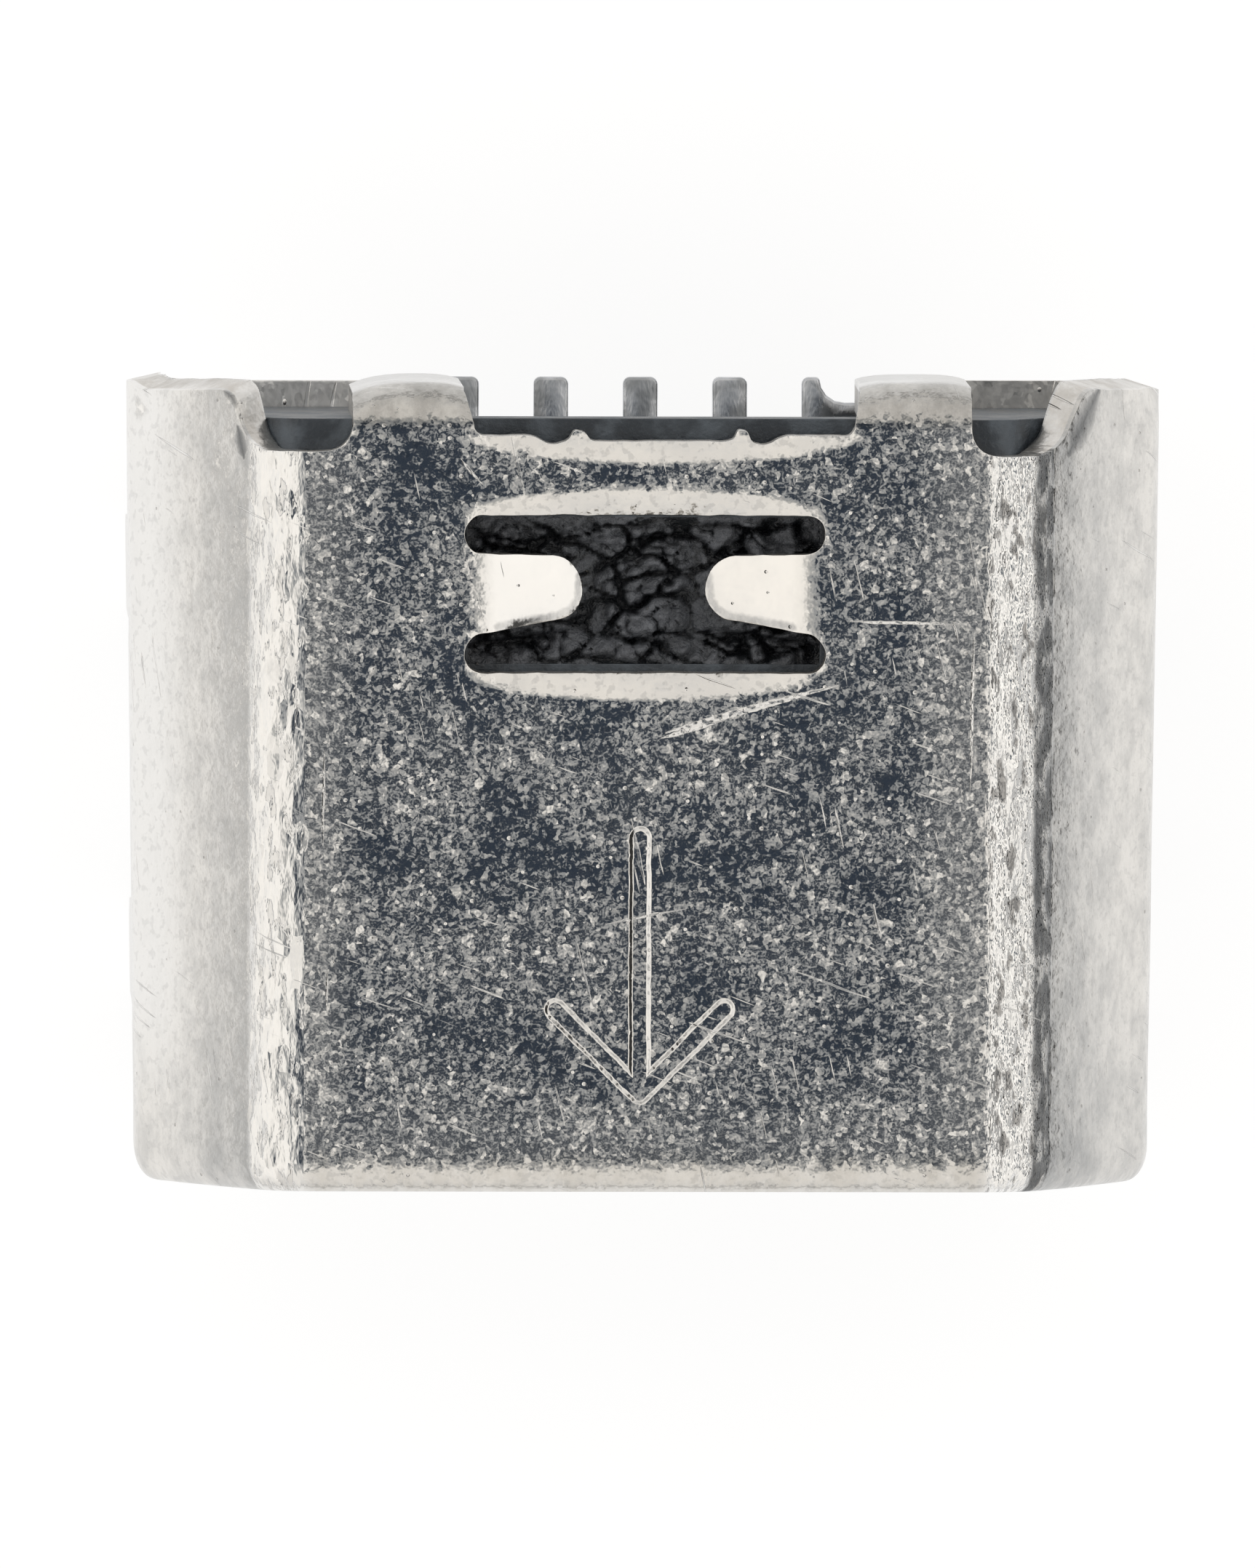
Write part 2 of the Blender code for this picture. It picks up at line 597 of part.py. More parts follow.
CONTACT_RUNS, CONTACT_START = contact_runs()
CONTACT_LENGTH = run_ends(CONTACT_RUNS)[-1]
BLADE_END = run_ends(CONTACT_RUNS)[3]
BLADE_IN_BASE = BASE_LENGTH - DROP_FROM_REAR - CONTACT_BEND - CONTACT_STOCK
NECK_AT = BLADE_END - BLADE_IN_BASE + NECK_FROM_BASE


def contact_outline(has_foot, grow):
    """A contact's flat strip, from the tip of its blade at y = 0 to the end of its tail, larger by grow."""
    blade, tail = BLADE_WIDTH / 2 + grow, TAIL_WIDTH / 2 + grow
    end = CONTACT_LENGTH + grow
    left = [(-tail + TAIL_CORNER, end), (-tail, end - TAIL_CORNER)]
    left += [(-tail, NECK_AT + blade - tail), (-blade, NECK_AT), (-blade, -grow)]
    right = [(-x, y) for x, y in reversed(left)]
    if has_foot:
        foot_start = end - TAIL_LENGTH + CONTACT_GAP
        hollow = TAIL_LENGTH - CONTACT_GAP - GROUND_FOOT_WIDTH
        right[3:] = [(tail, foot_start), (GROUND_FOOT_REACH, foot_start), (GROUND_FOOT_REACH, end - hollow)]
        right += arc((hollow, end), hollow, 3, 2)
    return left + right


def contact_strip(has_foot, grow):
    """A contact's flat strip as a solid, creased for its bends."""
    strip = outline_face(contact_outline(has_foot, grow), -grow)
    ends = run_ends(CONTACT_RUNS)
    for (_, turn), start, end in zip(CONTACT_RUNS, ends, ends[1:]):
        if turn:
            crease(strip, (0.0, 1.0, 0.0), spaced(start, end, FOLD_STEPS))
    thicken(strip, CONTACT_STOCK + 2 * grow)
    return strip


def bent_at(x):
    """The bending of a flat strip into a contact whose middle is at this x."""

    def place(point):
        across, along, depth = point
        y, z = follow(CONTACT_RUNS, CONTACT_START, BLADE_TIP_ANGLE, along, depth)
        return Vector((x + across, y, z))

    return place


def contact_space(x):
    """The space that a contact takes in the insulator, with its gap all round."""
    strip = contact_strip(False, CONTACT_GAP)
    place = bent_at(x)
    for point in strip.verts:
        point.co = place(point.co)
    bmesh.ops.triangulate(strip, faces=strip.faces[:])
    bmesh.ops.recalc_face_normals(strip, faces=strip.faces[:])
    return to_object(strip, "contact_space")


def make_insulator(material, contact_places):
    """The black moulding that holds the five contacts."""
    insulator = to_object(base_block(), "insulator")
    for piece in insulator_pieces():
        combine(insulator, piece, "UNION")
    for cut in insulator_cuts() + [contact_space(x) for x in contact_places]:
        combine(insulator, cut, "DIFFERENCE")
    finish(insulator, material)


def make_contact(name, material, x):
    """One contact. The ground contact also has a small foot beside its tail."""
    strip = to_object(contact_strip(name == "ground_contact", 0.0), name)
    finish(strip, material, bent_at(x))


def surface(name, colour, roughness, metallic):
    material = bpy.data.materials.new(name)
    material.use_nodes = True
    shader = material.node_tree.nodes["Principled BSDF"]
    shader.inputs["Base Color"].default_value = (*colour, 1.0)
    shader.inputs["Roughness"].default_value = roughness
    shader.inputs["Metallic"].default_value = metallic
    return material


def main():
    for old in list(bpy.data.objects):
        bpy.data.objects.remove(old)
    places = [CONTACT_PITCH * (number - (len(CONTACT_NAMES) - 1) / 2) for number in range(len(CONTACT_NAMES))]
    make_shell(surface("nickel_plate", (0.60, 0.59, 0.56), 0.32, 1.0))
    make_insulator(surface("black_moulding", (0.025, 0.027, 0.03), 0.60, 0.0), places)
    plating = surface("contact_plating", (0.55, 0.54, 0.52), 0.35, 1.0)
    for name, x in zip(CONTACT_NAMES, places):
        make_contact(name, plating, x)


main()
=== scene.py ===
import math
from types import SimpleNamespace
import bpy
import bmesh
from mathutils import Matrix, Vector, noise


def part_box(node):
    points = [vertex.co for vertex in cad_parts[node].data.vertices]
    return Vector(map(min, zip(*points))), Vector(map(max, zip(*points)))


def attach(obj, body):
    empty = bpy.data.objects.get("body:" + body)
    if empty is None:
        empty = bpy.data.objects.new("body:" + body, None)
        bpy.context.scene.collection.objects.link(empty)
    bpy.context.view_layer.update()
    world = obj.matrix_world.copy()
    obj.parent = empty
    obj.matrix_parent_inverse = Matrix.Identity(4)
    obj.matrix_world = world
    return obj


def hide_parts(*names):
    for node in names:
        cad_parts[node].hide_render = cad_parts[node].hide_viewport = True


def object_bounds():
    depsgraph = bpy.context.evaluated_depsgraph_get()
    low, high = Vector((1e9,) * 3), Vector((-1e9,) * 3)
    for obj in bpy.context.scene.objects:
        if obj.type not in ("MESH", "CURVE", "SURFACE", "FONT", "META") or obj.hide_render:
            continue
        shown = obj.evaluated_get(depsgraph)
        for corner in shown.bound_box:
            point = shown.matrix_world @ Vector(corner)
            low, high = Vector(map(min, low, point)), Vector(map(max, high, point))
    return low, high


# Looks of a small charging socket. The frame is in metres; shapes here are drawn in millimetres and scaled at the end.
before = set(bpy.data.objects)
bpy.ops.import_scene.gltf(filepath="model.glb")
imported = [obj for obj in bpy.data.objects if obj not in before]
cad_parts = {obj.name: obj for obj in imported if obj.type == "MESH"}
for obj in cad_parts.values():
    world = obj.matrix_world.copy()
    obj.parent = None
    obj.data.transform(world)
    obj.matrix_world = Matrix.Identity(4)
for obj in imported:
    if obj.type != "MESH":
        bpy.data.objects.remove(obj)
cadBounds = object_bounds()
scene = bpy.context.scene
noise.seed_set(11)  # without a seed, noise vectors differ each run
millimetre = 0.001
quarterTurn = math.pi / 2


def nodeBox(node):
    return [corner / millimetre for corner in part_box(node)]


def spaced(start, end, steps):
    return [start + (end - start) * step / steps for step in range(steps + 1)]


def spacedBy(start, end, step):
    return spaced(start, end, max(1, math.ceil(abs(end - start) / step)))


def walk(runs, start, heading, distance, depth):
    # Follows straights and bends, then steps to the right by depth
    across, up = start
    for number, (length, turn) in enumerate(runs):
        step = distance if number == len(runs) - 1 else min(distance, length)
        if turn:
            radius = length / turn
            across += radius * (math.sin(heading + step / radius) - math.sin(heading))
            up += radius * (math.cos(heading + step / radius) - math.cos(heading))
            heading += step / radius
        else:
            across += step * math.cos(heading)
            up -= step * math.sin(heading)
        distance -= step
        if distance <= 0:
            break
    return across - depth * math.sin(heading), up - depth * math.cos(heading)


def runEnds(runs):
    ends = [0.0]
    for length, _ in runs:
        ends.append(ends[-1] + length)
    return ends


def rectangle(lowX, lowY, highX, highY, roundness=0):
    return [(lowX, lowY, roundness), (highX, lowY, roundness), (highX, highY, roundness), (lowX, highY, roundness)]


def bevel(solid, chosen, width, segments, kind):
    bmesh.ops.bevel(solid, geom=chosen, offset=width, offset_type="OFFSET", segments=segments, profile=0.5,
                    affect=kind, clamp_overlap=True, material=-1)


def raised(solid):
    # Extrudes all faces and gives the points on top
    made = bmesh.ops.extrude_face_region(solid, geom=solid.faces[:])
    return [item for item in made["geom"] if isinstance(item, bmesh.types.BMVert)]


def outlineSolid(corners, low, high, roundSteps=8):
    # A prism from corners given as (x, y, roundness)
    solid = bmesh.new()
    points = [solid.verts.new((x, y, low)) for x, y, _ in corners]
    solid.faces.new(points)
    for roundness in sorted({corner[2] for corner in corners} - {0}):
        chosen = [point for point, corner in zip(points, corners) if corner[2] == roundness]
        bevel(solid, chosen, roundness, roundSteps, "VERTICES")
    bmesh.ops.translate(solid, verts=raised(solid), vec=(0, 0, high - low))
    bmesh.ops.recalc_face_normals(solid, faces=solid.faces[:])
    return solid


def toObject(solid, name):
    mesh = bpy.data.meshes.new(name)
    solid.to_mesh(mesh)
    solid.free()
    made = bpy.data.objects.new(name, mesh)
    scene.collection.objects.link(made)
    return made


def cutAway(body, tool):
    change = body.modifiers.new("cut", "BOOLEAN")
    change.operation = "DIFFERENCE"
    change.solver = "EXACT"
    change.object = tool
    bpy.context.view_layer.update()
    cut = bpy.data.meshes.new_from_object(body.evaluated_get(bpy.context.evaluated_depsgraph_get()))
    body.modifiers.clear()
    body.data = cut
    bpy.data.objects.remove(tool)


def simplified(mesh, scale, near, angle):
    # An editable copy with doubled points merged and flat faces joined
    solid = bmesh.new()
    solid.from_mesh(mesh)
    solid.transform(Matrix.Scale(scale, 4))
    bmesh.ops.remove_doubles(solid, verts=solid.verts[:], dist=near)
    bmesh.ops.dissolve_limit(solid, angle_limit=angle, verts=solid.verts[:], edges=solid.edges[:])
    return solid


def divideAt(solid, axis, lines):
    normal = Vector((axis == 0, axis == 1, 0))
    for line in lines:
        geometry = solid.verts[:] + solid.edges[:] + solid.faces[:]
        bmesh.ops.bisect_plane(solid, geom=geometry, dist=1e-5, plane_co=normal * line, plane_no=normal)


def smoothStep(value, low, high):
    share = min(1.0, max(0.0, (value - low) / (high - low)))
    return share * share * (3 - 2 * share)


def finishMesh(made, solid, material):
    # Turns millimetres into metres, sets the material and smooth shading with weighted normals
    solid.transform(Matrix.Scale(millimetre, 4))
    solid.to_mesh(made.data)
    solid.free()
    made.data.shade_smooth()
    made.data.materials.clear()
    made.data.materials.append(material)
    even = made.modifiers.new("even_normals", "WEIGHTED_NORMAL")
    even.weight = 80
    even.keep_sharp = True
    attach(made, "root")


shell = {
    "sheet": 0.25,
    "topHalf": 2.12, "easeLength": 0.34, "easeAngle": math.radians(3.5),  # flat half of the top, then a faint crown
    "slopeAngle": math.radians(52.15),
    "slopeCrown": math.radians(9.5),
    "topRadius": 0.62, "kneeRadius": 0.50, "footRadius": 0.50,  # outer radii
    "halfWidth": 3.75, "mouthNarrower": 0.075, "taperFrom": 2.74,
    "rightBendWider": 0.05,
    "sideSetback": 0.07,
    "sideCut": {-1: (0.0, 0.045, 0.05, 0.09), 1: (-0.01, 0.03, 0.05, 0.08)},  # rear edge, from the notch to the foot
    "cutSlant": 0.08,  # how far the rear edge's inner rim stands out beyond its outer one
    "leftCornerPushed": 0.062,  # to the rear, when it was cut off its strip
    "mouthRound": 0.26, "mouthLip": 0.05, "mouthLeadIn": 0.03,
    "windowFromRear": 1.525, "windowHalf": (1.30, 0.57), "slot": 0.27,
    "tongueTip": 0.355, "tongueRoll": 1.1, "tongueBend": 0.30, "tongueAngle": math.radians(27),
    "pressedDrop": 0.12, "pressedReach": 0.20,
    "earOuterRadius": 0.33, "earHeight": 1.65, "earWidth": 0.79, "earSpacing": 3.67, "rearShift": 0.10,
    "tabFromRear": 0.385,
    "notch": {-1: (2.93, 3.15, 0.495), 1: (2.97, 3.32, 0.525)},  # end of its bottom, end of its slant, depth
    "seamOffset": 0.40, "seamGap": 0.03,
    "dovetailReach": 0.34, "dovetailRoot": 0.62, "dovetailHead": 0.90, "dovetailFromMouth": 0.95,
    "latchSpacing": 3.90, "latchSize": (0.75, 1.10), "latchFromMouth": 1.30,
    "tailCutHalf": 1.905, "tailCutDepth": 0.90,
    "legWidth": 0.70, "legBelow": 0.85, "legSlit": 0.12, "legFromMouth": 1.60, "legFromRear": 1.45,
    "dents": [  # on the blank: around, along, radius, depth
        (-4.16, 2.66, 0.10, 0.045), (-4.30, 2.50, 0.07, 0.02), (-4.02, 2.52, 0.06, -0.012), (-3.15, 2.30, 0.10, 0.012),
        (3.6, 1.9, 0.22, 0.006), (-3.5, -0.7, 0.30, 0.006), (3.3, -1.5, 0.25, 0.005), (2.62, 2.34, 0.06, 0.012),
        (-2.66, 2.36, 0.05, 0.012), (4.30, 2.86, 0.17, 0.055),
    ],
    "waves": ((0.0035, (1.3, 1.1), 3.0), (0.0012, (4.1, 3.7), 8.0)),  # depth, frequency around and along, layer
    "raggedness": ((0.007, 6.0), (0.003, 16.2)),  # of the punched outlines: shift, frequency
    "outerRim": 0.048, "innerRim": 0.018,
    "grid": 0.09,
}

low, high = nodeBox("shell")
shell["height"], shell["mouthY"], shell["rearY"] = high.z, low.y, high.y
shell["length"] = high.y - low.y


def sectionRuns(s):
    # The right half of the outer section from the top centre to the bottom centre, as (length, turn) runs
    start = s["slopeAngle"] - s["slopeCrown"] / 2
    end = s["slopeAngle"] + s["slopeCrown"] / 2
    ease, easeRadius = s["easeAngle"], s["easeLength"] / s["easeAngle"]
    across = s["halfWidth"] - s["topHalf"] - easeRadius * math.sin(ease)
    across -= s["topRadius"] * (math.sin(start) - math.sin(ease)) + s["kneeRadius"] * (1 - math.sin(end))
    slopeLength = across * s["slopeCrown"] / (math.sin(end) - math.sin(start))
    drop = easeRadius * (1 - math.cos(ease)) + s["topRadius"] * (math.cos(ease) - math.cos(start))
    drop += s["kneeRadius"] * math.cos(end) + s["footRadius"]
    drop += slopeLength / s["slopeCrown"] * (math.cos(start) - math.cos(end))
    return [
        (s["topHalf"], 0.0),
        (s["easeLength"], ease),
        (s["topRadius"] * (start - ease), start - ease),
        (slopeLength, s["slopeCrown"]),
        (s["kneeRadius"] * (quarterTurn - end), quarterTurn - end),
        (s["height"] - drop, 0.0),
        (s["footRadius"] * quarterTurn, quarterTurn),
        (s["halfWidth"] - s["footRadius"], 0.0),
    ]


section = sectionRuns(shell)
easeStart, topEnd, slopeStart, slopeEnd, sideStart, sideEnd, footStart, footCentre = runEnds(section)[1:]
windowY = shell["rearY"] - shell["windowFromRear"]
windowX = -0.02
tabEdge = shell["rearY"] - shell["tabFromRear"]
sideRear = shell["rearY"] - shell["sideSetback"]
earStart = shell["rearY"] - shell["earOuterRadius"]
earRuns = [(shell["earOuterRadius"] * quarterTurn, quarterTurn), (shell["earHeight"] - shell["earOuterRadius"], 0.0)]
earEnd = earStart + runEnds(earRuns)[-1]
tongueRoot, windowHalfY = shell["windowHalf"]
tongueArc = (shell["tongueBend"] + shell["sheet"]) * shell["tongueAngle"]
tongueRuns = [(tongueArc, shell["tongueAngle"]), (1.0, 0.0)]
legCentres = (shell["mouthY"] + shell["legFromMouth"], shell["rearY"] - shell["legFromRear"])
legEnd = sideEnd + shell["footRadius"] + shell["legBelow"]
earInner = (shell["earSpacing"] - shell["earWidth"]) / 2
earOuter = (shell["earSpacing"] + shell["earWidth"]) / 2


def pressedDown(distance, across, half):
    share = 1 - (across / half) ** 2
    if share <= 0:
        return 0.0
    reach = shell["pressedReach"] * math.sqrt(share)
    return shell["pressedDrop"] * share * max(0.0, 1 - distance / reach) ** 1.35


def foldTop(around, along, inward):
    if along > earStart:
        y, z = walk(earRuns, (earStart, shell["height"]), 0.0, along - earStart, inward)
        fromCentre = (abs(around - shell["rearShift"]) - shell["earSpacing"] / 2) / (shell["earWidth"] / 2)
        sag = 0.035 * min(1.0, abs(fromCentre)) ** 4
        if around < 0:
            sag += 0.045 * max(0.0, fromCentre) ** 1.5
        return Vector((around, y - sag * smoothStep(along, earStart, earStart + 0.4), z))
    fromWindow = abs(along - windowY)
    beside = abs(around - windowX)
    if beside < tongueRoot and fromWindow < windowHalfY - shell["slot"] / 2:
        x, z = walk(tongueRuns, (0.0, shell["height"]), 0.0, tongueRoot - beside, inward)
        rolled = max(0.0, windowY - 0.03 - along) * smoothStep(tongueRoot - beside, 0.15, 0.6)
        z -= shell["tongueRoll"] * rolled ** 2
        return Vector((windowX + math.copysign(tongueRoot - x, around - windowX), along, z))
    drop = pressedDown(max(fromWindow - windowHalfY, 0.0), beside, tongueRoot)
    drop += pressedDown(max(tabEdge - along, 0.0), around - shell["rearShift"], earInner)
    return Vector((around, along, shell["height"] - inward - drop))


def taper(x, along):
    beside = max(0.0, abs(x) - shell["taperFrom"])
    share = (shell["rearY"] - min(along, shell["rearY"])) / shell["length"]
    return x - math.copysign(shell["mouthNarrower"] * share * beside / (shell["halfWidth"] - shell["taperFrom"]), x)


def onLeg(around, along):
    beside = min(abs(along - centre) for centre in legCentres)
    inLength = sideEnd < abs(around) < legEnd + shell["legSlit"] / 2
    return inLength and beside < (shell["legWidth"] + shell["legSlit"]) / 2


def mouthDepth(fromMouth, inward):
    short = 1 - fromMouth / shell["mouthRound"]
    outer = (shell["sheet"] - shell["mouthLip"] - shell["mouthLeadIn"]) * (1 - math.sqrt(max(0.0, 1 - short ** 2)))
    inner = shell["sheet"] - max(0.0, shell["mouthLeadIn"] - fromMouth)
    return outer + (inner - outer) * inward / shell["sheet"]


def unevenness(around, along):
    # how far the sheet lies below its true surface: faint waves and a few dents
    low = 0.0
    for depth, (acrossTimes, alongTimes), layer in shell["waves"]:
        low += depth + depth * noise.noise(Vector((around * acrossTimes, along * alongTimes, layer)))
    for x, y, radius, depth in shell["dents"]:
        reach = ((around - x) ** 2 + (along - y) ** 2) / radius ** 2
        if reach < 6:
            low += depth * math.exp(-reach)
    return low


def unevenRims(around, along):
    # the punch leaves its outlines a little ragged
    place = Vector((around, along, 5.0 / 6.0))
    shift = sum((noise.noise_vector(place * often) * most for most, often in shell["raggedness"]), Vector())
    keep = smoothStep(along - shell["mouthY"], 0.10, 0.45) * smoothStep(sideEnd - abs(around), -0.05, 0.2)
    return around + shift.x * keep, along + shift.y * keep


def foldShell(point):
    around, along, inward = point
    around, along = unevenRims(around, along)
    fromMouth = along - shell["mouthY"]
    if fromMouth < shell["mouthRound"]:
        inward = mouthDepth(max(fromMouth, 0.0), inward)
    inward += unevenness(around, along) * smoothStep(fromMouth, 0.0, 0.5)
    if abs(around) < (topEnd if along > earStart else easeStart) + 1e-5:
        place = foldTop(around, along, inward)
    elif onLeg(around, along):
        legZ = shell["footRadius"] - (abs(around) - sideEnd)
        place = Vector((math.copysign(shell["halfWidth"] - inward, around), along, legZ))
    else:
        x, z = walk(section, (0.0, shell["height"]), 0.0, abs(around), inward)
        place = Vector((x if around > 0 else -x, along, z))
    if abs(around) > earOuter + shell["rearShift"]:
        slant = shell["cutSlant"] * min(1.0, inward / shell["sheet"])
        place.y += slant * smoothStep(along, sideRear - 0.32, sideRear - 0.12)
        if around < 0:
            corner = smoothStep(-around, slopeEnd - 0.10, slopeEnd + 0.16) * smoothStep(sideEnd + around, 0.0, 0.2)
            place.y += shell["leftCornerPushed"] * corner * smoothStep(along, sideRear - 0.35, sideRear)
        place.y = min(place.y, shell["rearY"] - 0.005)
    if around > 0:
        place.x += shell["rightBendWider"] * smoothStep(place.x, 2.5, 2.85) * (1 - smoothStep(place.x, 2.92, 3.6))
    place.x = taper(place.x, place.y)
    return place


def mirrored(corners, side):
    return [(side * x, y, r) for x, y, r in corners]


def turnedOver(corners):
    return [(x, -y, r) for x, y, r in reversed(corners)]


def shellPunches(leftEnd, rightEnd):
    # Corner lists of everything that is punched out of the flat blank
    s = shell
    beyond = earEnd + 0.2
    # window, with tongues that narrow towards their tips
    right = [
        (tongueRoot, windowHalfY, 0.13), (tongueRoot, windowHalfY - s["slot"], 0.13),
        (s["tongueTip"], 0.26, 0.24), (s["tongueTip"], -0.17, 0.185),
        (tongueRoot, -windowHalfY + s["slot"], 0.13), (tongueRoot, -windowHalfY, 0.13),
    ]
    window = right + [(-x, y, r) for x, y, r in reversed(right)]
    punches = [[(windowX + x, windowY + y, r) for x, y, r in window]]
    # between the ears: the locking tab's edge, its reliefs, and a torn nib at each end
    left, rightSide = s["rearShift"] - earInner, s["rearShift"] + earInner
    edge = tabEdge + 0.006
    middle = tabEdge - 0.036
    punches.append([
        (left, beyond, 0), (left + 0.01, earStart + 0.40, 0), (left + 0.09, earStart - 0.02, 0.10),
        (left + 0.13, edge, 0.10), (-0.82, edge, 0.07), (-0.70, edge - 0.075, 0.06),
        (-0.58, middle, 0.03), (-0.53, middle + 0.075, 0.02), (-0.46, middle + 0.07, 0.02), (-0.41, middle, 0.03),
        (0.55, middle, 0.03), (0.62, middle + 0.02, 0.02), (0.65, middle + 0.085, 0.02), (0.72, middle + 0.07, 0.02),
        (0.75, middle - 0.01, 0.03), (0.86, edge - 0.07, 0.05), (0.96, edge, 0.06),
        (rightSide - 0.09, edge, 0.10), (rightSide - 0.05, earStart, 0.10), (rightSide - 0.01, earStart + 0.40, 0),
        (rightSide, beyond, 0),
    ])
    # outside each ear: the notch, which leans outwards to the rear, and everything behind the side
    for side, blankEnd in ((-1, leftEnd), (1, rightEnd)):
        ear, cut = side * s["rearShift"] + earOuter, s["sideCut"][side]
        past = abs(blankEnd) + s["dovetailReach"] + 0.2
        bottom, top, depth = s["notch"][side]
        notchY = s["rearY"] - depth
        punches.append(mirrored([
            (ear, beyond, 0), (ear, notchY, 0.20), (bottom, notchY, 0.20), (top, sideRear - cut[0], 0.10),
            (slopeEnd, sideRear - cut[1], 0), (sideEnd, sideRear - cut[2], 0),
            (footStart, sideRear - cut[3], 0), (past, sideRear - cut[3], 0), (past, beyond, 0),
        ], side))
        # tail cut-out, latch window, leg slits
        cutEdge = footCentre - s["tailCutHalf"]
        front = s["rearY"] - s["tailCutDepth"]
        punches.append(mirrored([
            (cutEdge, sideRear + 0.2, 0), (cutEdge, front, 0.15), (past, front, 0), (past, sideRear + 0.2, 0),
        ], side))
        centre = footCentre - s["latchSpacing"] / 2
        halfX, halfY = s["latchSize"][0] / 2, s["latchSize"][1] / 2
        y = s["mouthY"] + s["latchFromMouth"] + halfY
        punches.append(mirrored(rectangle(centre - halfX, y - halfY, centre + halfX, y + halfY, 0.12), side))
        half, slit, root = s["legWidth"] / 2, s["legSlit"], sideEnd - 0.10
        leg = [(root, half, 0), (legEnd - 0.15, half, 0.04), (legEnd, half - 0.15, 0.04)]
        beyondLeg = [(root, -half - slit, 0.05), (legEnd + slit, -half - slit, 0.02)]
        slits = leg + turnedOver(leg) + beyondLeg + turnedOver(beyondLeg)
        for legY in legCentres:
            punches.append(mirrored([(x, legY + y, r) for x, y, r in slits], side))
    # the seam, with its dovetail and socket
    y = s["mouthY"] + s["dovetailFromMouth"]
    pastLeft = leftEnd - s["dovetailReach"] - 0.2
    for way, limit in ((-1, s["mouthY"] - 0.2), (1, s["rearY"] + 0.2)):
        rootY, headY = y + way * s["dovetailRoot"] / 2, y + way * s["dovetailHead"] / 2
        punches.append([
            (leftEnd, limit, 0), (leftEnd, rootY, 0.02), (leftEnd - s["dovetailReach"], headY, 0.04),
            (pastLeft, headY, 0), (pastLeft, limit, 0),
        ])
    gap = s["seamGap"]
    rootHalf, headHalf = s["dovetailRoot"] / 2 + gap, s["dovetailHead"] / 2 + gap
    socketEnd = rightEnd - s["dovetailReach"]
    punches.append([
        (rightEnd + 0.2, y + rootHalf, 0), (rightEnd + gap, y + rootHalf, 0), (socketEnd, y + headHalf, 0.04),
        (socketEnd, y - headHalf, 0.04), (rightEnd + gap, y - rootHalf, 0), (rightEnd + 0.2, y - rootHalf, 0),
    ])
    return punches


def shellLinesAround():
    # Where the blank is divided across its width: fine in bends, coarse elsewhere
    step = shell["grid"]
    right = spacedBy(0.0, easeStart, step) + spaced(easeStart, topEnd, 8)[1:]
    right += spaced(topEnd, slopeStart, 14)[1:] + spacedBy(slopeStart, slopeEnd, step)[1:]
    right += spaced(slopeEnd, sideStart, 8)[1:] + spacedBy(sideStart, sideEnd, 0.15)[1:]
    right += spaced(sideEnd, footStart, 10)[1:] + spacedBy(footStart, footCentre + 0.5, 0.25)[1:]
    lines = right + [-line for line in right]
    for side in (-1, 1):
        root = windowX + side * tongueRoot
        lines += spaced(root, root - side * tongueArc, 8)
    return sorted(set(round(line, 5) for line in lines))


def shellLinesAlong():
    step = shell["grid"]
    mouth = shell["mouthY"]
    lines = [mouth + shell["mouthRound"] * (1 - math.cos(turn)) for turn in spaced(0.0, quarterTurn, 10)[1:]]
    lines += spacedBy(mouth + shell["mouthRound"], shell["rearY"], step)
    for side in (-1, 1):
        edge = windowY + side * windowHalfY
        lines += spaced(edge, edge + side * shell["pressedReach"], 8)
    lines += spaced(tabEdge - shell["pressedReach"], tabEdge, 8)
    lines += spaced(earStart, earStart + shell["earOuterRadius"] * quarterTurn, 12)
    return sorted(set(round(line, 5) for line in lines))


def roundRims(solid):
    # Rounds the punched rims: the outer face's more than the inner's
    for height, width, segments in ((0.0, shell["outerRim"], 3), (shell["sheet"], shell["innerRim"], 2)):
        rims = [
            edge for edge in solid.edges
            if len(edge.link_faces) == 2 and edge.calc_face_angle() > 1.0
            and all(abs(point.co.z - height) < 1e-5 for point in edge.verts)
        ]
        bevel(solid, rims, width, segments, "EDGES")


def makeShell(material):
    leftEnd = -(footCentre - shell["seamOffset"]) + shell["seamGap"] / 2
    rightEnd = footCentre + shell["seamOffset"] - shell["seamGap"] / 2
    tabEnd = leftEnd - shell["dovetailReach"]
    sheet = rectangle(tabEnd, shell["mouthY"], rightEnd, earEnd)
    made = toObject(outlineSolid(sheet, 0.0, shell["sheet"]), "folded_shell")
    for corners in shellPunches(leftEnd, rightEnd):
        cutAway(made, toObject(outlineSolid(corners, -0.2, shell["sheet"] + 0.2), "punch"))
    solid = simplified(made.data, 1.0, 1e-5, 0.005)
    roundRims(solid)
    divideAt(solid, 0, shellLinesAround())
    divideAt(solid, 1, shellLinesAlong())
    flat = solid.verts.layers.float_vector.new("blank")
    for point in solid.verts:
        point[flat] = point.co
        point.co = foldShell(point.co)
    bmesh.ops.triangulate(solid, faces=solid.faces[:])
    bmesh.ops.recalc_face_normals(solid, faces=solid.faces[:])
    print("shell:", len(solid.faces), "faces")
    finishMesh(made, solid, material)
    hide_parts("shell")


# Materials. Patterns are in millimetres: the shell reads its flat blank's coordinates, the rest read Object ones.

def addNode(kind, values, tree=None, **settings):
    # in the tree given, or where the sockets among its values are
    sockets = {name: value for name, value in values.items() if isinstance(value, bpy.types.NodeSocket)}
    tree = tree or next(iter(sockets.values())).id_data
    made = tree.nodes.new("ShaderNode" + kind)
    for name, value in settings.items():
        setattr(made, name, value)
    for name, value in values.items():
        if name in sockets:
            tree.links.new(value, made.inputs[name])
        else:
            made.inputs[name].default_value = value
    return made


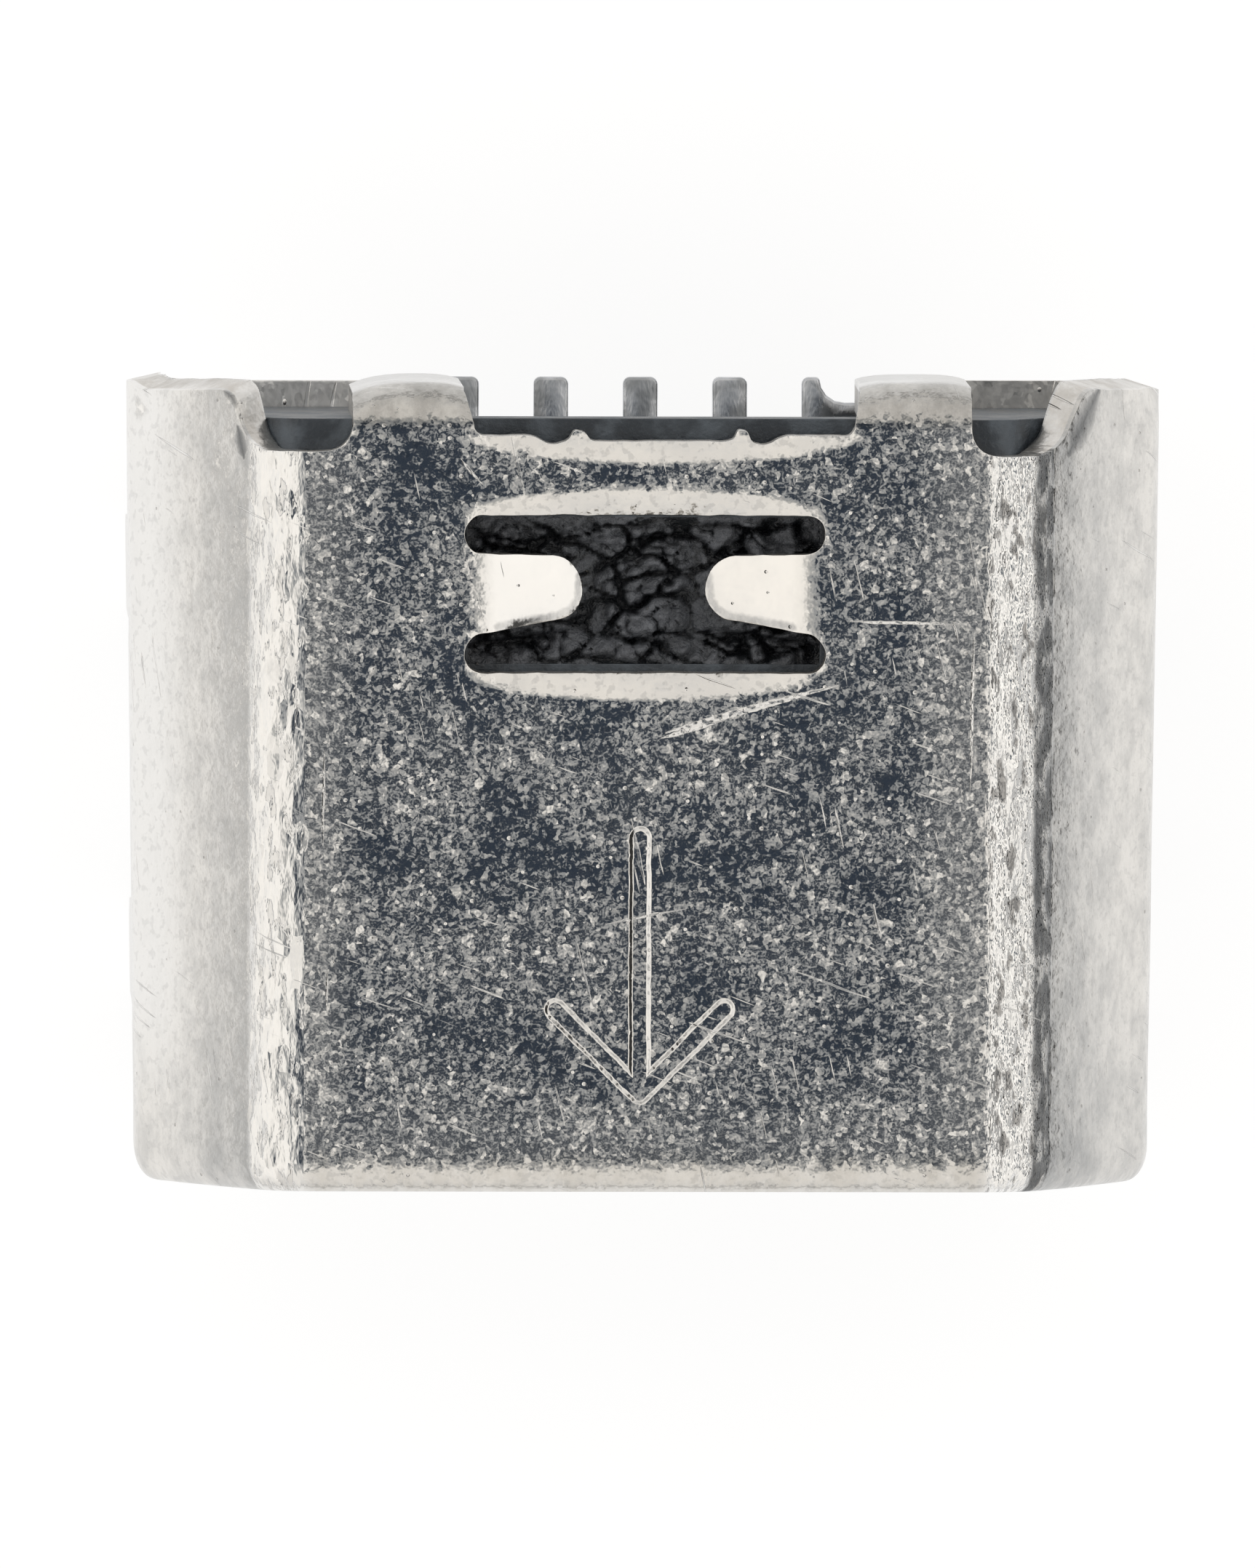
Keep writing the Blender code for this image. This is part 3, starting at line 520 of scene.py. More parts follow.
def mathNode(operation, first, second=0.0, third=0.0, clamp=False):
    made = addNode("Math", {0: first, 1: second, 2: third}, operation=operation, use_clamp=clamp)
    return made.outputs[0]


def plus(first, second):
    return mathNode("ADD", first, second)


def minus(first, second):
    return mathNode("SUBTRACT", first, second)


def distance(first, second):
    return mathNode("ABSOLUTE", minus(first, second))


def times(first, *others):
    for other in others:
        first = mathNode("MULTIPLY", first, other)
    return first


def vectorNode(operation, first, second=(0, 0, 0), output=0):
    return addNode("VectorMath", {0: first, 1: second}, operation=operation).outputs[output]


def scaled(vector, share):
    return addNode("VectorMath", {0: vector, "Scale": share}, operation="SCALE").outputs[0]


def joined(x, y, z=0.0):
    return addNode("CombineXYZ", {0: x, 1: y, 2: z}).outputs[0]


def parted(vector):
    return list(addNode("SeparateXYZ", {0: vector}).outputs)


def between(value, low, high, toLow=0.0, toHigh=1.0, smooth=True):
    values = {"Value": value, "From Min": low, "From Max": high, "To Min": toLow, "To Max": toHigh}
    kind = "SMOOTHSTEP" if smooth else "LINEAR"
    return addNode("MapRange", values, interpolation_type=kind).outputs[0]


def band(value, start, low, high, end):
    # 1 from low to high, 0 before start and after end
    return times(between(value, start, low), between(value, end, high))


def mixColour(share, first, second):
    return addNode("Mix", {0: share, 6: first, 7: second}, data_type="RGBA").outputs[2]


def mixValue(share, first, second):
    return addNode("Mix", {0: share, 2: first, 3: second}, data_type="FLOAT").outputs[0]


def noiseAt(place, scale, detail=2.0, roughness=0.55, stretch=(1, 1, 1), shift=(0, 0, 0)):
    mapped = addNode("Mapping", {"Vector": place, "Location": shift, "Scale": stretch}).outputs[0]
    values = {"Vector": mapped, "Scale": scale, "Detail": detail, "Roughness": roughness}
    return addNode("TexNoise", values).outputs[0]


def bumpNode(height, distance, **others):
    return addNode("Bump", {"Height": height, "Distance": distance, **others}).outputs[0]


def millimetres(tree):
    return scaled(addNode("TexCoord", {}, tree).outputs["Object"], 1 / millimetre)


def newMaterial(name):
    material = bpy.data.materials.new(name)
    material.use_nodes = True
    return material, material.node_tree, material.node_tree.nodes["Principled BSDF"]


def connect(tree, shader, colour, roughness, normal, **constants):
    for socket, value in (("Base Color", colour), ("Roughness", roughness), ("Normal", normal)):
        tree.links.new(value, shader.inputs[socket])
    for socket, value in constants.items():
        shader.inputs[socket].default_value = value


def newGroup(name, inputs, outputs):
    group = bpy.data.node_groups.new(name, "ShaderNodeTree")
    for way, sockets in (("INPUT", inputs), ("OUTPUT", outputs)):
        for socket, kind in sockets.items():
            group.interface.new_socket(name=socket, in_out=way, socket_type="NodeSocket" + kind)
    return group, group.nodes.new("NodeGroupInput").outputs, group.nodes.new("NodeGroupOutput").inputs


def useGroup(group, **values):
    return addNode("Group", values, node_tree=group).outputs


def makeGrainGroup():
    # the lumps of a thin plated sheet: Height for bump, Patch as a mask of worn places
    group, given, kept = newGroup("sheetGrain", {"Vector": "Vector", "Stretch": "Float"},
                                  {"Height": "Float", "Patch": "Float"})
    place = vectorNode("MULTIPLY", given["Vector"], joined(1.0, given["Stretch"], 1.0))
    group.links.new(noiseAt(place, 13.0, 2.0, 0.58), kept["Height"])
    patch = noiseAt(given["Vector"], 1.5, 4.0, 0.68, shift=(7.3, 2.2, 0))
    group.links.new(between(patch, 0.36, 0.60), kept["Patch"])
    return group


def makeFacetGroup():
    # tiny facets of the plating, each tilted its own way and few of them much
    group, given, kept = newGroup("platingFacets", {"Vector": "Vector", "Along": "Vector", "Tilt": "Float"},
                                  {"Normal": "Vector"})
    place = vectorNode("MULTIPLY", given["Vector"], given["Along"])
    warp = joined(noiseAt(place, 24.0, 1.0), noiseAt(place, 24.0, 1.0, shift=(5, 5, 0)))
    place = vectorNode("ADD", vectorNode("MULTIPLY", warp, (0.04, 0.04, 0)), place)
    tilts = []
    for scale, most in ((21.0, 1.6), (38.0, 1.5)):
        cells = addNode("TexVoronoi", {"Vector": place, "Scale": scale}, voronoi_dimensions="2D").outputs["Color"]
        strong = addNode("SeparateColor", {0: cells}).outputs[2]
        tilt = vectorNode("MULTIPLY", vectorNode("SUBTRACT", cells, (0.5, 0.5, 0.5)), (1, 1, 0))
        tilts.append(scaled(tilt, times(strong, strong, most)))
    tilt = scaled(vectorNode("ADD", *tilts), given["Tilt"])
    normal = vectorNode("ADD", addNode("NewGeometry", {}, group).outputs["Normal"], tilt)
    group.links.new(vectorNode("NORMALIZE", normal), kept["Normal"])
    return group


def fromLine(place, given):
    # how far place lies from the straight line between Start and End, and how far along it, from 0 to 1
    fromStart = vectorNode("SUBTRACT", place, given["Start"])
    line = vectorNode("SUBTRACT", given["End"], given["Start"])
    share = mathNode("DIVIDE", vectorNode("DOT_PRODUCT", fromStart, line, 1),
                     mathNode("MAXIMUM", vectorNode("DOT_PRODUCT", line, line, 1), 1e-6), clamp=True)
    offset = vectorNode("SUBTRACT", fromStart, scaled(line, share))
    return vectorNode("LENGTH", offset, output=1), share


def makeScratchGroup():
    # one straight scratch from Start to End, broken up by Wobble
    group, given, kept = newGroup("oneScratch", {"Vector": "Vector", "Start": "Vector", "End": "Vector",
                                                 "Width": "Float", "Wobble": "Float"}, {"Mask": "Float"})
    away, share = fromLine(given["Vector"], given)
    ends = band(share, 0.0, 0.25, 0.6, 1.0)
    width = times(given["Width"], mathNode("MULTIPLY_ADD", ends, 0.7, 0.3))
    near = mathNode("SUBTRACT", 1.0, mathNode("DIVIDE", away, width), clamp=True)
    broken = between(given["Wobble"], 0.38, 0.5, 0.2, 1.0)
    group.links.new(times(mathNode("POWER", near, 0.6), broken), kept["Mask"])
    return group


def makeStrokeGroup():
    # how far a point lies from a straight line between Start and End, whatever its depth
    group, given, kept = newGroup("strokeLine", {"Vector": "Vector", "Start": "Vector", "End": "Vector"},
                                  {"Away": "Float"})
    away, _ = fromLine(vectorNode("MULTIPLY", given["Vector"], (1, 1, 0)), given)
    group.links.new(away, kept["Away"])
    return group


def makeScuffGroup():
    # fine random scuffs in two directions
    group, given, kept = newGroup("fineScuffs", {"Vector": "Vector"}, {"Mask": "Float"})
    where = noiseAt(given["Vector"], 0.9, 1.0, shift=(3, 0, 1))
    masks = []
    for turn, shift, low, high in ((0.35, 1.0, 0.52, 0.62), (1.35, 9.0, 0.48, 0.38)):
        turned = addNode("VectorRotate", {"Vector": given["Vector"], "Angle": turn},
                         rotation_type="Z_AXIS").outputs[0]
        lines = noiseAt(turned, 2.2, 0.0, 0.5, (0.6, 15, 1), (shift, shift, 0))
        masks.append(times(between(lines, 0.76, 0.82), between(where, low, high)))
    group.links.new(mathNode("MAXIMUM", *masks), kept["Mask"])
    return group


def makePitGroup():
    # sparse small pits, in a share of the cells
    group, given, kept = newGroup("smallPits", {"Vector": "Vector", "Scale": "Float", "Share": "Float"},
                                  {"Mask": "Float"})
    cells = addNode("TexVoronoi", {"Vector": given["Vector"], "Scale": given["Scale"]}).outputs
    red = addNode("SeparateColor", {0: cells["Color"]}).outputs[0]
    chosen = mathNode("LESS_THAN", red, given["Share"])
    group.links.new(times(between(cells["Distance"], 0.17, 0.04), chosen), kept["Mask"])
    return group


grainGroup, scratchGroup, strokeGroup = makeGrainGroup(), makeScratchGroup(), makeStrokeGroup()
scuffGroup, pitGroup, facetGroup = makeScuffGroup(), makePitGroup(), makeFacetGroup()

nickel = {
    "bright": (0.83, 0.805, 0.765, 1),  # clean plating
    "dull": (0.66, 0.65, 0.635, 1),  # where it is worn
    # dark end of patchy dirt, and of the painted shade on the slopes
    "smudge": (0.46, 0.46, 0.455, 1),
    "cut": (0.86, 0.845, 0.82, 1), "cutShade": (0.64, 0.61, 0.57, 1),  # sheared faces, which show the steel
    # lip: painted shade on the rounded mouth lip; tongue: pale, for painted highlights and scratches; ear: painted
    # shade where the ears bend
    "lip": (0.58, 0.55, 0.50, 1), "tongue": (0.93, 0.92, 0.90, 1), "ear": (0.34, 0.33, 0.31, 1),
    "pit": (0.20, 0.19, 0.18, 1),
    "hollow": (0.36, 0.36, 0.36, 1),  # painted shade in the hollows between the lumps, partly dirt; also the painted shade along the tongues' rolled edge
    "grimeAndShade": (0.13, 0.135, 0.14, 1),  # painted dark reflection along the right bend, and the colour of the stains
    "roughness": (0.09, 0.14),  # plating, worn patches
    "slopeRoughness": (0.17, 0.26), "insideRoughness": 0.40, "cutRoughness": 0.38, "scratchRoughness": 0.30,
    "grainHeight": 18.0e-6,  # metres, for a height of 1
    "lumps": {"plating": 0.24, "patch": 0.46, "slope": 0.35, "side": 0.16, "tongue": 0.12},  # their height
    "crack": -0.30, "scratch": -0.60, "pitHeight": 0.45, "creases": (0.8, 5.4),  # on the left and right bend
    "tilt": {"flat": 0.20, "slope": 0.12, "tongue": 0.05, "bend": 0.85},  # of the facets
    "stains": [  # on the blank: x, y, x and y of the end, width; the first, beside the right notch's cut face, is partly a painted shadow
        (3.12, 2.42, 3.50, 2.86, 0.12), (-2.99, 2.38, -3.06, 2.60, 0.06),
        (-3.02, 2.72, -3.24, 2.90, 0.04), (3.20, 2.90, 3.36, 2.93, 0.04),
    ],
    "engraving": {  # an arrow that points to the mouth
        "lines": [(-0.05, -0.35, -0.05, -2.20), (-0.05, -2.20, -0.66, -1.59), (-0.05, -2.20, 0.56, -1.59)],
        "halfWidth": 0.065, "flank": 0.019, "depth": 1.4,
    },
    # where shade is painted along the tongues' rolled edge, from the window's centre
    "rolledEdgeShade": [(0.385, 0.12), (0.40, -0.05), (0.455, -0.125), (0.56, -0.165), (1.05, -0.235)],
    "scratches": [  # on the blank: x, y, x and y of the end, width
        (0.13, 0.41, 1.37, 0.757, 0.024), (0.10, 0.37, 0.55, 0.50, 0.017),
        (1.46, 1.215, 2.25, 1.20, 0.012), (2.20, 1.22, 2.24, 1.06, 0.009),
        (-2.33, 0.275, -2.34, -0.41, 0.010), (-2.30, -1.325, -2.31, -1.59, 0.009),
        (2.35, 1.1, 2.33, 0.0, 0.012), (-1.35, 2.38, -1.20, 2.20, 0.010),
        (-0.30, -0.97, 0.28, -0.86, 0.009),
    ],
}


def leftToRight(x, left, right):
    return between(x, -1.0, 1.0, left, right)


def nearestStroke(place, lines):
    nearest = 100.0
    for x, y, nextX, nextY in lines:
        away = useGroup(strokeGroup, Vector=place, Start=(x, y, 0), End=(nextX, nextY, 0))["Away"]
        nearest = mathNode("MINIMUM", nearest, away)
    return nearest


def nickelMasks(tree, settings):
    # where the sheet is what, read from its flat blank: masks and patterns by name
    blank = addNode("Attribute", {}, tree, attribute_name="blank").outputs["Vector"]
    x, y, z = parted(blank)
    side = mathNode("ABSOLUTE", x)
    at = SimpleNamespace(blank=blank, x=x, y=y, z=z, side=side)
    at.bend = band(side, topEnd - 0.03, topEnd + 0.05, slopeStart - 0.03, slopeStart + 0.03)
    at.slope = between(side, slopeStart - 0.04, slopeStart + 0.01)
    at.cut = band(z, 0.03, 0.045, shell["sheet"] - 0.022, shell["sheet"] - 0.012)
    at.bent = mathNode("GREATER_THAN", at.bend, 0.5)
    grain = useGroup(grainGroup, Vector=blank, Stretch=mixValue(at.bent, 1.0, 0.5))
    at.grain = grain["Height"]
    # plating is worn along the bends, further in on the right, and near the mouth
    fromCentre = plus(side, between(x, 0.5, 2.0, 0.0, 0.15))
    at.wear = mathNode("MAXIMUM", between(fromCentre, 1.95, 2.40, 0.0, 0.95), between(y, -2.0, -2.65, 0.0, 0.7))
    at.patch = mathNode("ADD", grain["Patch"], at.wear, clamp=True)
    pits = useGroup(pitGroup, Vector=blank, Scale=11.0, Share=mixValue(at.slope, 0.22, 0.06))["Mask"]
    at.pits = times(pits, minus(1.0, at.bend))
    at.smudge = between(noiseAt(blank, 2.8, 6.0, 0.72, (1.5, 0.9, 1), (2.0, 4.0, 0)), 0.34, 0.66)
    at.wobble = noiseAt(blank, 26.0, 0.0)
    at.shifted = vectorNode("ADD", blank, joined(0.0, times(at.wobble, 0.01)))
    at.scratch = useGroup(scuffGroup, Vector=blank)["Mask"]
    for line in settings["scratches"]:
        at.scratch = mathNode("MAXIMUM", at.scratch, scratchMask(at, line, at.wobble))
    at.tongue = times(between(side, tongueRoot - 0.02, tongueRoot - 0.22), between(distance(y, windowY), 0.36, 0.30))
    # short cracks along the bends
    at.cracks = noiseAt(blank, 2.6, 3.0, 0.55, (4.6, 1.5, 1.0), (5.0, 1.0, 0))
    at.crack = times(between(at.cracks, 0.45, 0.38), at.bend)
    return at


def scratchMask(at, line, wobble):
    x, y, nextX, nextY, width = line
    return useGroup(scratchGroup, Vector=at.shifted, Start=(x, y, 0), End=(nextX, nextY, 0), Width=width,
                    Wobble=wobble)["Mask"]


def nickelColour(settings, at):
    x, y, side, smudge = at.x, at.y, at.side, at.smudge

    def laid(share, name):
        return mixColour(share, colour, settings[name])

    colour = mixColour(times(at.patch, 0.40), settings["bright"], settings["dull"])
    # painted shade on the slopes: darker beside the bends, at the mouth and on the right, mixed with patchy dirt noise,
    # and a painted highlight along the left one's outer edge
    shade = between(side, slopeStart, slopeEnd - 0.3, 0.32, -0.20, smooth=False)
    shade = plus(shade, leftToRight(x, -0.04, 0.20))
    shade = plus(shade, between(y, -1.2, -2.8, 0.0, 0.24))
    shade = mathNode("MULTIPLY_ADD", smudge, 0.42, shade)
    slopeShadeAndSmudges = mixColour(shade, settings["bright"], settings["smudge"])
    paintedHighlight = times(between(x, -slopeEnd + 0.75, -slopeEnd + 0.1, 0.0, 0.75), between(y, -2.6, -1.4))
    colour = mixColour(at.slope, colour, mixColour(paintedHighlight, slopeShadeAndSmudges, settings["tongue"]))
    # painted shade in the hollows between the lumps, partly dirt, most of it on the flat
    onFlat = times(between(side, topEnd, topEnd - 0.12), between(y, earStart, earStart - 0.06))
    hollow = mixValue(onFlat, mixValue(at.slope, 0.18, 0.17), 0.30)
    hollow = mixValue(at.tongue, hollow, 0.0)
    colour = laid(times(between(at.grain, 0.47, 0.36), hollow), "hollow")
    # bends: a painted highlight, more on the right, with dark cracks; the right one ends in a painted dark reflection
    # line
    colour = laid(times(at.bend, leftToRight(x, 0.45, 1.0)), "tongue")
    colour = laid(times(at.crack, leftToRight(x, 0.16, 0.72)), "pit")
    # painted shade on the rounded mouth lip, patchy by noise
    nearMouth = times(between(y, -2.55, -2.72), between(side, topEnd, topEnd - 0.1))
    colour = laid(times(nearMouth, mixValue(smudge, 0.06, 0.50)), "lip")
    # painted dark reflection along the right bend, broken up by the cracks noise
    line = band(x, slopeStart - 0.19, slopeStart - 0.13, slopeStart, slopeStart + 0.03)
    colour = laid(times(line, between(at.cracks, 0.60, 0.50, 0.50, 0.90)), "grimeAndShade")
    # ears: painted shade, darkest where they bend, patchy by noise
    ears = times(between(y, earStart - 0.04, earStart + 0.06), between(side, 2.6, 2.5),
                 mixValue(smudge, 0.42, 0.80), between(y, earStart + 1.0, earStart + 0.35, 0.15, 1.0))
    colour = laid(ears, "ear")
    # painted shade along the tongues' rolled edge, a painted highlight on the left tongue, and scratches
    beside = joined(distance(x, windowX), minus(y, windowY))
    lines = [(*here, *there) for here, there in zip(settings["rolledEdgeShade"], settings["rolledEdgeShade"][1:])]
    rolledEdgeShade = mathNode("MULTIPLY_ADD", at.wobble, 0.02, nearestStroke(beside, lines))
    rolledEdgeShade = times(between(rolledEdgeShade, 0.055, 0.02), mixValue(smudge, 0.35, 0.85))
    paintedHighlight = times(at.tongue, between(x, 0.3, -0.3, 0.05, 0.6))
    colour = laid(mathNode("MAXIMUM", paintedHighlight, times(at.scratch, 0.7)), "tongue")
    colour = laid(times(rolledEdgeShade, at.tongue), "hollow")
    colour = mixColour(at.cut, colour, mixColour(smudge, settings["cut"], settings["cutShade"]))
    # dark marks, the first of them partly a painted shadow beside the right notch's cut face
    for stain in settings["stains"]:
        colour = laid(times(scratchMask(at, stain, 0.52), 0.8), "grimeAndShade")
    return laid(times(at.pits, mixValue(at.slope, 0.0, 0.35)), "pit")


def nickelRoughness(settings, at):
    rough = mathNode("MULTIPLY_ADD", mathNode("SUBTRACT", at.wear, at.bend, clamp=True), 0.07,
                     mixValue(at.patch, *settings["roughness"]))
    rough = mixValue(at.slope, rough, mixValue(at.smudge, *settings["slopeRoughness"]))
    # the bottom's inner face, down to the feet
    inside = times(between(at.side, footStart - 0.1, footStart + 0.1),
                   between(at.z, shell["sheet"] - 0.06, shell["sheet"] - 0.02))
    rough = mixValue(inside, rough, settings["insideRoughness"])
    rough = mixValue(at.cut, rough, settings["cutRoughness"])
    return mixValue(at.scratch, rough, settings["scratchRoughness"])


def nickelNormal(settings, at):
    lumps, tilts, marks = settings["lumps"], settings["tilt"], settings["engraving"]
    strength = mixValue(at.patch, lumps["plating"], lumps["patch"])
    slope = between(at.side, slopeEnd - 0.2, sideStart, lumps["slope"], lumps["side"])
    strength = mixValue(at.tongue, mixValue(at.slope, strength, slope), lumps["tongue"])
    height = times(at.grain, strength)
    nearest = nearestStroke(at.shifted, marks["lines"])
    outer, inner = marks["halfWidth"] + marks["flank"], marks["halfWidth"] - marks["flank"]
    groove = times(between(nearest, outer, inner), between(at.z, 0.02, 0.01))
    creases = times(minus(at.cracks, 0.5), at.bend, leftToRight(at.x, *settings["creases"]))
    for mask, share in ((groove, -marks["depth"]), (creases, 1.0), (at.crack, settings["crack"]),
                        (at.scratch, settings["scratch"]), (at.pits, settings["pitHeight"])):
        height = mathNode("MULTIPLY_ADD", mask, share, height)
    tilt = mixValue(at.patch, tilts["flat"] * 0.66, tilts["flat"] * 1.40)
    tilt = mixValue(at.tongue, mixValue(at.slope, tilt, tilts["slope"]), tilts["tongue"])
    tilt = mixValue(at.bend, tilt, leftToRight(at.x, tilts["bend"] * 0.5, tilts["bend"]))
    along = joined(mixValue(at.bent, 1.0, 0.45), mixValue(at.bent, 1.0, 0.16), 1.0)
    facets = useGroup(facetGroup, Vector=at.blank, Along=along, Tilt=tilt)["Normal"]
    return bumpNode(height, settings["grainHeight"], Normal=facets)


def makeNickel(settings):
    material, tree, shader = newMaterial("nickelSheet")
    at = nickelMasks(tree, settings)
    connect(tree, shader, nickelColour(settings, at), nickelRoughness(settings, at),
            nickelNormal(settings, at), Metallic=1.0)
    return material


plastic = {
    "colour": (0.041, 0.048, 0.057, 1), "wornAndLitRidges": (0.100, 0.118, 0.138, 1), "crumb": (0.13, 0.12, 0.11, 1),
    "roughness": (0.34, 0.55), "grainHeight": 9.0e-6, "readsRelief": False,
}
crust = {  # the same moulding, burnt where the window was cut, and darker as painted shade in the window's recess
    "colour": (0.016, 0.018, 0.021, 1), "wornAndLitRidges": (0.145, 0.153, 0.170, 1), "crumb": (0.15, 0.14, 0.13, 1),
    "roughness": (0.35, 0.50), "grainHeight": 30.0e-6, "readsRelief": True,
}


def makePlastic(name, settings):
    material, tree, shader = newMaterial(name)
    place = millimetres(tree)
    cloud = between(noiseAt(place, 3.0, 3.0, 0.6), 0.40, 0.68)
    # in the window's crust: ridge tops take the lighter colour as painted light, and cracks the dark one as painted
    # shade
    if settings["readsRelief"]:
        relief = addNode("Attribute", {}, tree, attribute_name="relief").outputs["Fac"]
        cloud = times(mixValue(cloud, 0.55, 1.0), between(relief, -0.65, 0.30))
    dust = useGroup(pitGroup, Vector=place, Scale=9.0, Share=0.14)["Mask"]
    colour = mixColour(cloud, settings["colour"], settings["wornAndLitRidges"])
    colour = mixColour(times(dust, 0.5), colour, settings["crumb"])
    height = mathNode("MULTIPLY_ADD", dust, 0.5, noiseAt(place, 26.0, 2.0, 0.65))
    connect(tree, shader, colour, mixValue(cloud, *settings["roughness"]),
            bumpNode(height, settings["grainHeight"]), IOR=1.5)
    return material


plating = {
    "tail": (0.55, 0.56, 0.58, 1), "shade": (0.33, 0.34, 0.35, 1), "blade": (0.83, 0.62, 0.30, 1),
    "bladeBefore": 0.4,  # y up to which the contacts are gilded
    "roughness": (0.22, 0.34), "grainHeight": 2.5e-6,
}


def makePlating(settings):
    material, tree, shader = newMaterial("contactPlating")
    place = millimetres(tree)
    cloud = between(noiseAt(place, 6.0, 2.0, 0.6), 0.35, 0.65)
    gilt = between(parted(place)[1], settings["bladeBefore"] + 0.1, settings["bladeBefore"] - 0.1)
    colour = mixColour(cloud, settings["tail"], settings["shade"])
    colour = mixColour(gilt, colour, settings["blade"])
    grain = noiseAt(place, 24.0, 1.0, 0.6, (1.6, 0.6, 1))
    connect(tree, shader, colour, mixValue(cloud, *settings["roughness"]),
            bumpNode(grain, settings["grainHeight"]), Metallic=1.0)
    return material


metal, contactMetal = makeNickel(nickel), makePlating(plating)
black, scorchedAndShadedCrust = makePlastic("blackMoulding", plastic), makePlastic("windowCrust", crust)
print("materials made")
makeShell(metal)
print("shell made")


def roundedCopy(name, newName, material, width, hollow=None):
    # the solid's own shape with its edges rounded, and a hollow cut out of it
    made = toObject(simplified(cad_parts[name].data, 1 / millimetre, 1e-4, 0.01), newName)
    if hollow:
        cutAway(made, toObject(outlineSolid(rectangle(*hollow[0]), *hollow[1]), "hollow"))
    solid = bmesh.new()
    solid.from_mesh(made.data)
    rounding = made.modifiers.new("rounding", "BEVEL")
    rounding.width = width * millimetre
    rounding.segments = 2
    rounding.limit_method = "ANGLE"
    rounding.angle_limit = math.radians(35)
    rounding.use_clamp_overlap = True
    finishMesh(made, solid, material)
    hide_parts(name)
    return made


windowHollow = ((-1.29, 0.88, 1.25, 1.94), (1.45, 2.3))  # x and y from and to, z from and to; the crumbs fill it
moulding = roundedCopy("insulator", "insulator_moulding", black, 0.02, windowHollow)
for name in ("power_contact", "data_minus_contact", "data_plus_contact", "id_contact", "ground_contact"):
    strip = roundedCopy(name, name + "_strip", contactMetal, 0.018)

crumbs = {
    "x": (-1.42, 1.38), "y": (0.80, 2.02), "cell": 0.020,
    "level": 1.995, "rise": 0.17, "valley": 0.05, "underTongue": 0.10, "depth": 0.10,
}


def crumbRelief(x, y):
    # flakes with cracks between them
    shift = noise.noise_vector(Vector((x * 4, y * 5, 6.0))) * 0.12
    near = noise.voronoi(Vector(((x + shift.x) * 2.3, (y + shift.y) * 4.6, 3.0)))[0]
    small = noise.voronoi(Vector(((x + shift.y) * 7.0, (y + shift.x) * 9.0, 9.0)))[0]
    rough = noise.noise(Vector((x * 2.2, y * 3.4, 4.0))) * 0.7 + noise.noise(Vector((x * 8, y * 10, 1.0))) * 0.30
    rough += noise.noise(Vector((x * 19, y * 21, 2.0))) * 0.36
    rough -= 0.9 * (1 - smoothStep(near[1] - near[0], 0.02, 0.14))
    rough -= 0.45 * (1 - smoothStep(small[1] - small[0], 0.03, 0.22))
    return rough + 0.25


def crumbHeight(x, y, settings):
    # rough moulding in the window, lowest where the tongues reach down
    rough = crumbRelief(x, y)
    beside, fromMiddle = abs(x - windowX), abs(y - windowY)
    fromLip = smoothStep(windowHalfY - fromMiddle, 0.0, 0.16)
    fromEnd = smoothStep(tongueRoot - beside, 0.0, 0.16)
    past = windowY - y - shell["slot"] / 2 - 0.04 - 0.12 * (beside - 0.4)
    crack = math.exp(-((past - 0.10 + 0.03 * rough) / 0.016) ** 2) * smoothStep(beside, 0.25, 0.5)
    rough -= 0.8 * crack
    level = settings["level"] + (settings["rise"] * min(1.0, max(-1.0, rough)) - settings["valley"]) * fromLip * fromEnd
    nearTongue = smoothStep(beside, 0.16, shell["tongueTip"] + 0.08) * smoothStep(fromMiddle, 0.50, 0.26)
    under = shell["height"] - (tongueRoot - beside) * math.tan(shell["tongueAngle"])
    return level + min(0.0, under - settings["underTongue"] - level) * nearTongue


def makeCrumbs(settings, material):
    (lowX, highX), (lowY, highY) = settings["x"], settings["y"]
    solid = bmesh.new()
    bmesh.ops.create_grid(solid, x_segments=round((highX - lowX) / settings["cell"]),
                          y_segments=round((highY - lowY) / settings["cell"]), size=0.5)
    bmesh.ops.scale(solid, verts=solid.verts[:], vec=(highX - lowX, highY - lowY, 1))
    bmesh.ops.translate(solid, verts=solid.verts[:], vec=((lowX + highX) / 2, (lowY + highY) / 2, settings["level"]))
    relief = solid.verts.layers.float.new("relief")
    for point in solid.verts:
        point[relief] = crumbRelief(point.co.x, point.co.y)
    top = set(raised(solid))
    for point in solid.verts:
        depth = 0.0 if point in top else settings["depth"]
        point.co.z = crumbHeight(point.co.x, point.co.y, settings) - depth
    bmesh.ops.recalc_face_normals(solid, faces=solid.faces[:])
    patch = toObject(bmesh.new(), "window_crumbs")
    finishMesh(patch, solid, material)


makeCrumbs(crumbs, scorchedAndShadedCrust)
print("insulator and contacts made")


cameraSettings = {
    "distance": 250.0,  # from the lens to the point that it looks at
    "target": (-0.112, -0.0345, 1.2),
    "tiltToRear": math.radians(3.3),
    "tiltToLeft": math.radians(1.5),
    "roll": math.radians(0.2),
    "pixelsPerMillimetre": 189.8,  # at the target, in the photograph's frame
    "frameWidth": 1725,
    "filmWidth": 36.0,
}


